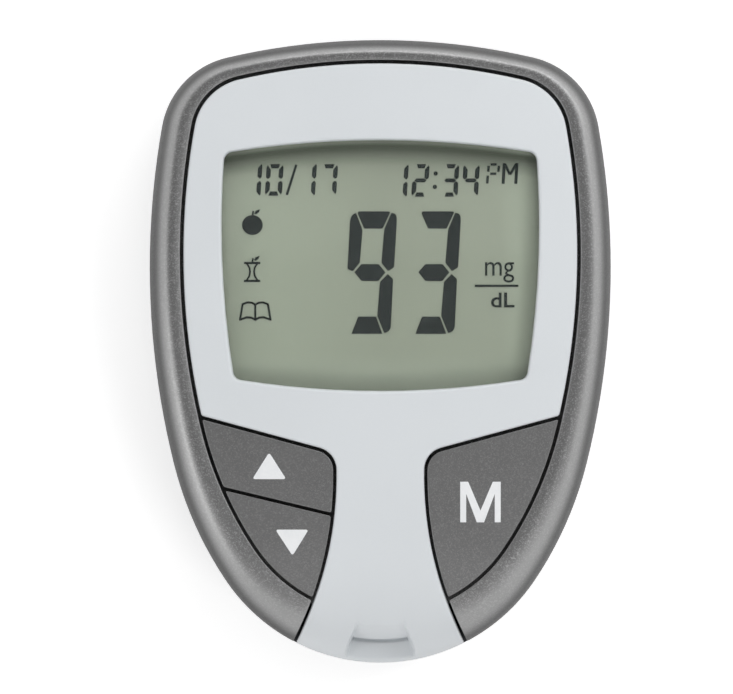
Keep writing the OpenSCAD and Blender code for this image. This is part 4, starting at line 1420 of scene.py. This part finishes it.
FLOOR_WIDE = 3.0
FLOOR_Z = -0.0002
FLOOR_GLOW = 0.46
EYE_PLACE = (-1.70 * MM, 0.56 * MM, 2.026)
EYE_LENS = 800.0


def background_ray(tree):
    """1 for what the camera sees straight or through glass, else 0."""
    path = node(tree, "LightPath").outputs
    return maths(tree, "MAXIMUM", path["Is Camera Ray"], path["Is Transmission Ray"])


def softbox(name, place, width, height, power):
    """A rectangular lamp that points at the meter."""
    clear_picks()
    bpy.ops.object.light_add(type="AREA", location=place)
    lamp = bpy.context.object
    lamp.name = name
    lamp.data.shape = "RECTANGLE"
    lamp.data.size = width
    lamp.data.size_y = height
    lamp.data.energy = power
    way = Vector((0, 0, 0.01)) - Vector(place)
    lamp.rotation_euler = way.to_track_quat("-Z", "Y").to_euler()


def studio_light():
    """Five soft lamps, and a world that is dimmer overhead than at the sides and white behind the meter."""
    world = bpy.data.worlds.new("studio")
    bpy.context.scene.world = world
    world.use_nodes = True
    tree = world.node_tree
    up = along_axes(tree, node(tree, "TexCoord").outputs["Generated"])[2]
    dome = ranged(tree, up, 0.55, 0.98, 0.62, 0.22, smoothed=True)
    strength = ranged(tree, background_ray(tree), 0.0, 1.0, dome, 1.0)
    feed(tree, tree.nodes["Background"], {"Color": (1, 1, 1, 1), "Strength": strength})
    softbox("left_box", (-0.60, -0.26, 0.36), 0.30, 0.36, 0.95)
    softbox("right_box", (0.50, 0.30, 0.58), 0.36, 0.5, 1.5)
    softbox("back_box", (0.16, 0.62, 0.46), 0.7, 0.22, 1.9)
    softbox("corner_box", (0.32, -0.38, 0.62), 0.22, 0.22, 0.85)
    softbox("low_box", (-0.12, -0.40, 0.72), 0.5, 0.2, 0.5)


def floor():
    clear_picks()
    bpy.ops.mesh.primitive_plane_add(size=FLOOR_WIDE, location=(0, 0, FLOOR_Z))
    ground = settled()
    named("floor")
    look, tree, shader = look_start("pale_floor")
    grain = noise(tree, own_place(tree), 40.0)
    feed(tree, shader, {
        "Base Color": mixed(tree, grain, (0.88, 0.88, 0.88, 1), (0.91, 0.91, 0.91, 1)),
        "Roughness": 0.9, "Specular IOR Level": 0.0, "Emission Color": (1, 1, 1, 1),
        "Emission Strength": times(tree, background_ray(tree), FLOOR_GLOW)})
    ground.data.materials.append(look)


def camera():
    clear_picks()
    bpy.ops.object.camera_add(location=EYE_PLACE)
    eye = bpy.context.object
    eye.name = "camera"
    eye.rotation_euler = (0, 0, 0)
    eye.data.lens = EYE_LENS
    eye.data.sensor_width = 36.0
    eye.data.clip_start = 0.05
    eye.data.clip_end = 10.0
    bpy.context.scene.camera = eye


# ---- the whole meter

def build():
    bpy.context.scene.view_settings.view_transform = "Standard"
    camera()
    studio_light()
    floor()

    # The rim's and keys' flake paint carry painted light: a painted highlight where they turn from the view
    # and painted shade where seen edge on.
    front_case(flake_paint("rim_paint", (108, 108, 108), (146, 146, 146), tilt=0.09, smoothest=0.40,
                           roughest=0.50, metallic=0.6, painted_sheen=0.34, edge=0.88))
    face_sheet(moulded("pale_face", (215, 219, 222), (212, 216, 219), 0.34, 0.44,
                       grain=3600.0, mottle=60.0, bump=0.06, deep=0.01))
    key_paint = flake_paint("key_paint", (105, 105, 105), (125, 125, 125), tilt=0.05, smoothest=0.38,
                            roughest=0.48, metallic=0.4, painted_sheen=0.1, edge=0.4)
    key_cap("up_button", "up", -1, key_paint, "up_key", "up_key")
    key_cap("down_button", "low", -1, key_paint, "down_key", "down_key")
    key_cap("memory_button", "whole", 1, key_paint, "memory_key", "memory_key")
    key_marks(moulded("white_print", (236, 237, 238), (228, 230, 232), 0.45, 0.6,
                      grain=4000.0, mottle=500.0, bump=0.1, deep=0.005))
    segment = moulded("display_ink", (43, 46, 45), (40, 43, 42), 0.5, 0.65,
                      grain=3000.0, mottle=300.0, bump=0.0, deep=0.002, specular=0.0)
    display_figures(segment)
    meal_signs(segment)

    case = {"grain": 2600.0, "mottle": 120.0, "bump": 0.5}
    chip = {"grain": 4200.0}
    ceramic = {"grain": 3200.0, "mottle": 400.0}
    glass = clear("display_glass", (236, 242, 238), 0.02, 1.5)
    nickel = metal("nickel_plate", (196, 194, 186), (172, 170, 162), 0.2, 0.4)
    for name, look in (
        ("rear_case", moulded("dark_case", (58, 60, 63), (48, 50, 53), 0.46, 0.66, **case)),
        ("battery_door", moulded("door_case", (60, 62, 65), (50, 52, 55), 0.46, 0.66, **case)),
        ("display_lens", clear("clear_lens", (248, 250, 250), 0.001, 1.2)),
        ("lcd_front_polarizer", display_film()),
        ("lcd_front_glass", glass),
        ("lcd_rear_glass", glass),
        ("lcd_reflector", moulded("satin_reflector", (168, 176, 160), (156, 164, 148), 0.3, 0.5,
                                  grain=1800.0, mottle=200.0)),
        ("lcd_holder", moulded("white_holder", (226, 226, 222), (214, 214, 210), 0.5, 0.65, mottle=150.0)),
        ("zebra_strip", layered_rubber()),
        ("circuit_board", solder_resist()),
        ("microcontroller", moulded("chip_epoxy", (34, 34, 36), (26, 26, 28), 0.45, 0.65, **chip)),
        ("memory_chip", moulded("small_chip_epoxy", (36, 36, 38), (28, 28, 30), 0.45, 0.65, **chip)),
        ("analog_chip", moulded("analog_chip_epoxy", (32, 33, 36), (24, 25, 28), 0.45, 0.65, **chip)),
        ("crystal", metal("crystal_can", (200, 200, 198), (176, 176, 174), 0.2, 0.36)),
        ("buzzer", moulded("buzzer_shell", (30, 30, 31), (24, 24, 25), 0.5, 0.7)),
        ("capacitors", moulded("capacitor_ceramic", (168, 138, 104), (150, 122, 92), 0.45, 0.65, **ceramic)),
        ("resistors", moulded("resistor_ceramic", (40, 40, 44), (30, 30, 34), 0.45, 0.65, **ceramic)),
        ("strip_connector", moulded("connector_shell", (222, 220, 214), (208, 206, 200), 0.45, 0.6)),
        ("strip_contacts", metal("gold_flash", (226, 190, 108), (200, 164, 88), 0.18, 0.36)),
        ("data_jack", moulded("jack_shell", (30, 31, 33), (24, 25, 27), 0.4, 0.58)),
        ("data_jack_contacts", metal("tin_plate", (190, 192, 194), (162, 164, 166), 0.25, 0.45)),
        ("coin_cell_left", nickel),
        ("coin_cell_right", nickel),
        ("battery_plus_contacts", metal("plus_contact_nickel", (200, 198, 190), (178, 176, 168), 0.2, 0.4,
                                        1300.0)),
        ("battery_minus_contacts", metal("minus_contact_nickel", (198, 196, 190), (176, 174, 168), 0.2, 0.4,
                                         1300.0)),
        ("case_screws", metal("zinc_plate", (178, 181, 186), (150, 153, 158), 0.28, 0.5, 1500.0)),
        ("rating_label", moulded("label_film", (206, 208, 210), (198, 200, 202), 0.35, 0.5,
                                 grain=3000.0, mottle=180.0, bump=0.05)),
    ):
        cad_look(name, look)
    steel = metal("bright_steel", (205, 207, 210), (176, 178, 182), 0.16, 0.34)
    for key in ("up", "down", "memory"):
        snap_dome(key + "_dome", steel)


build()
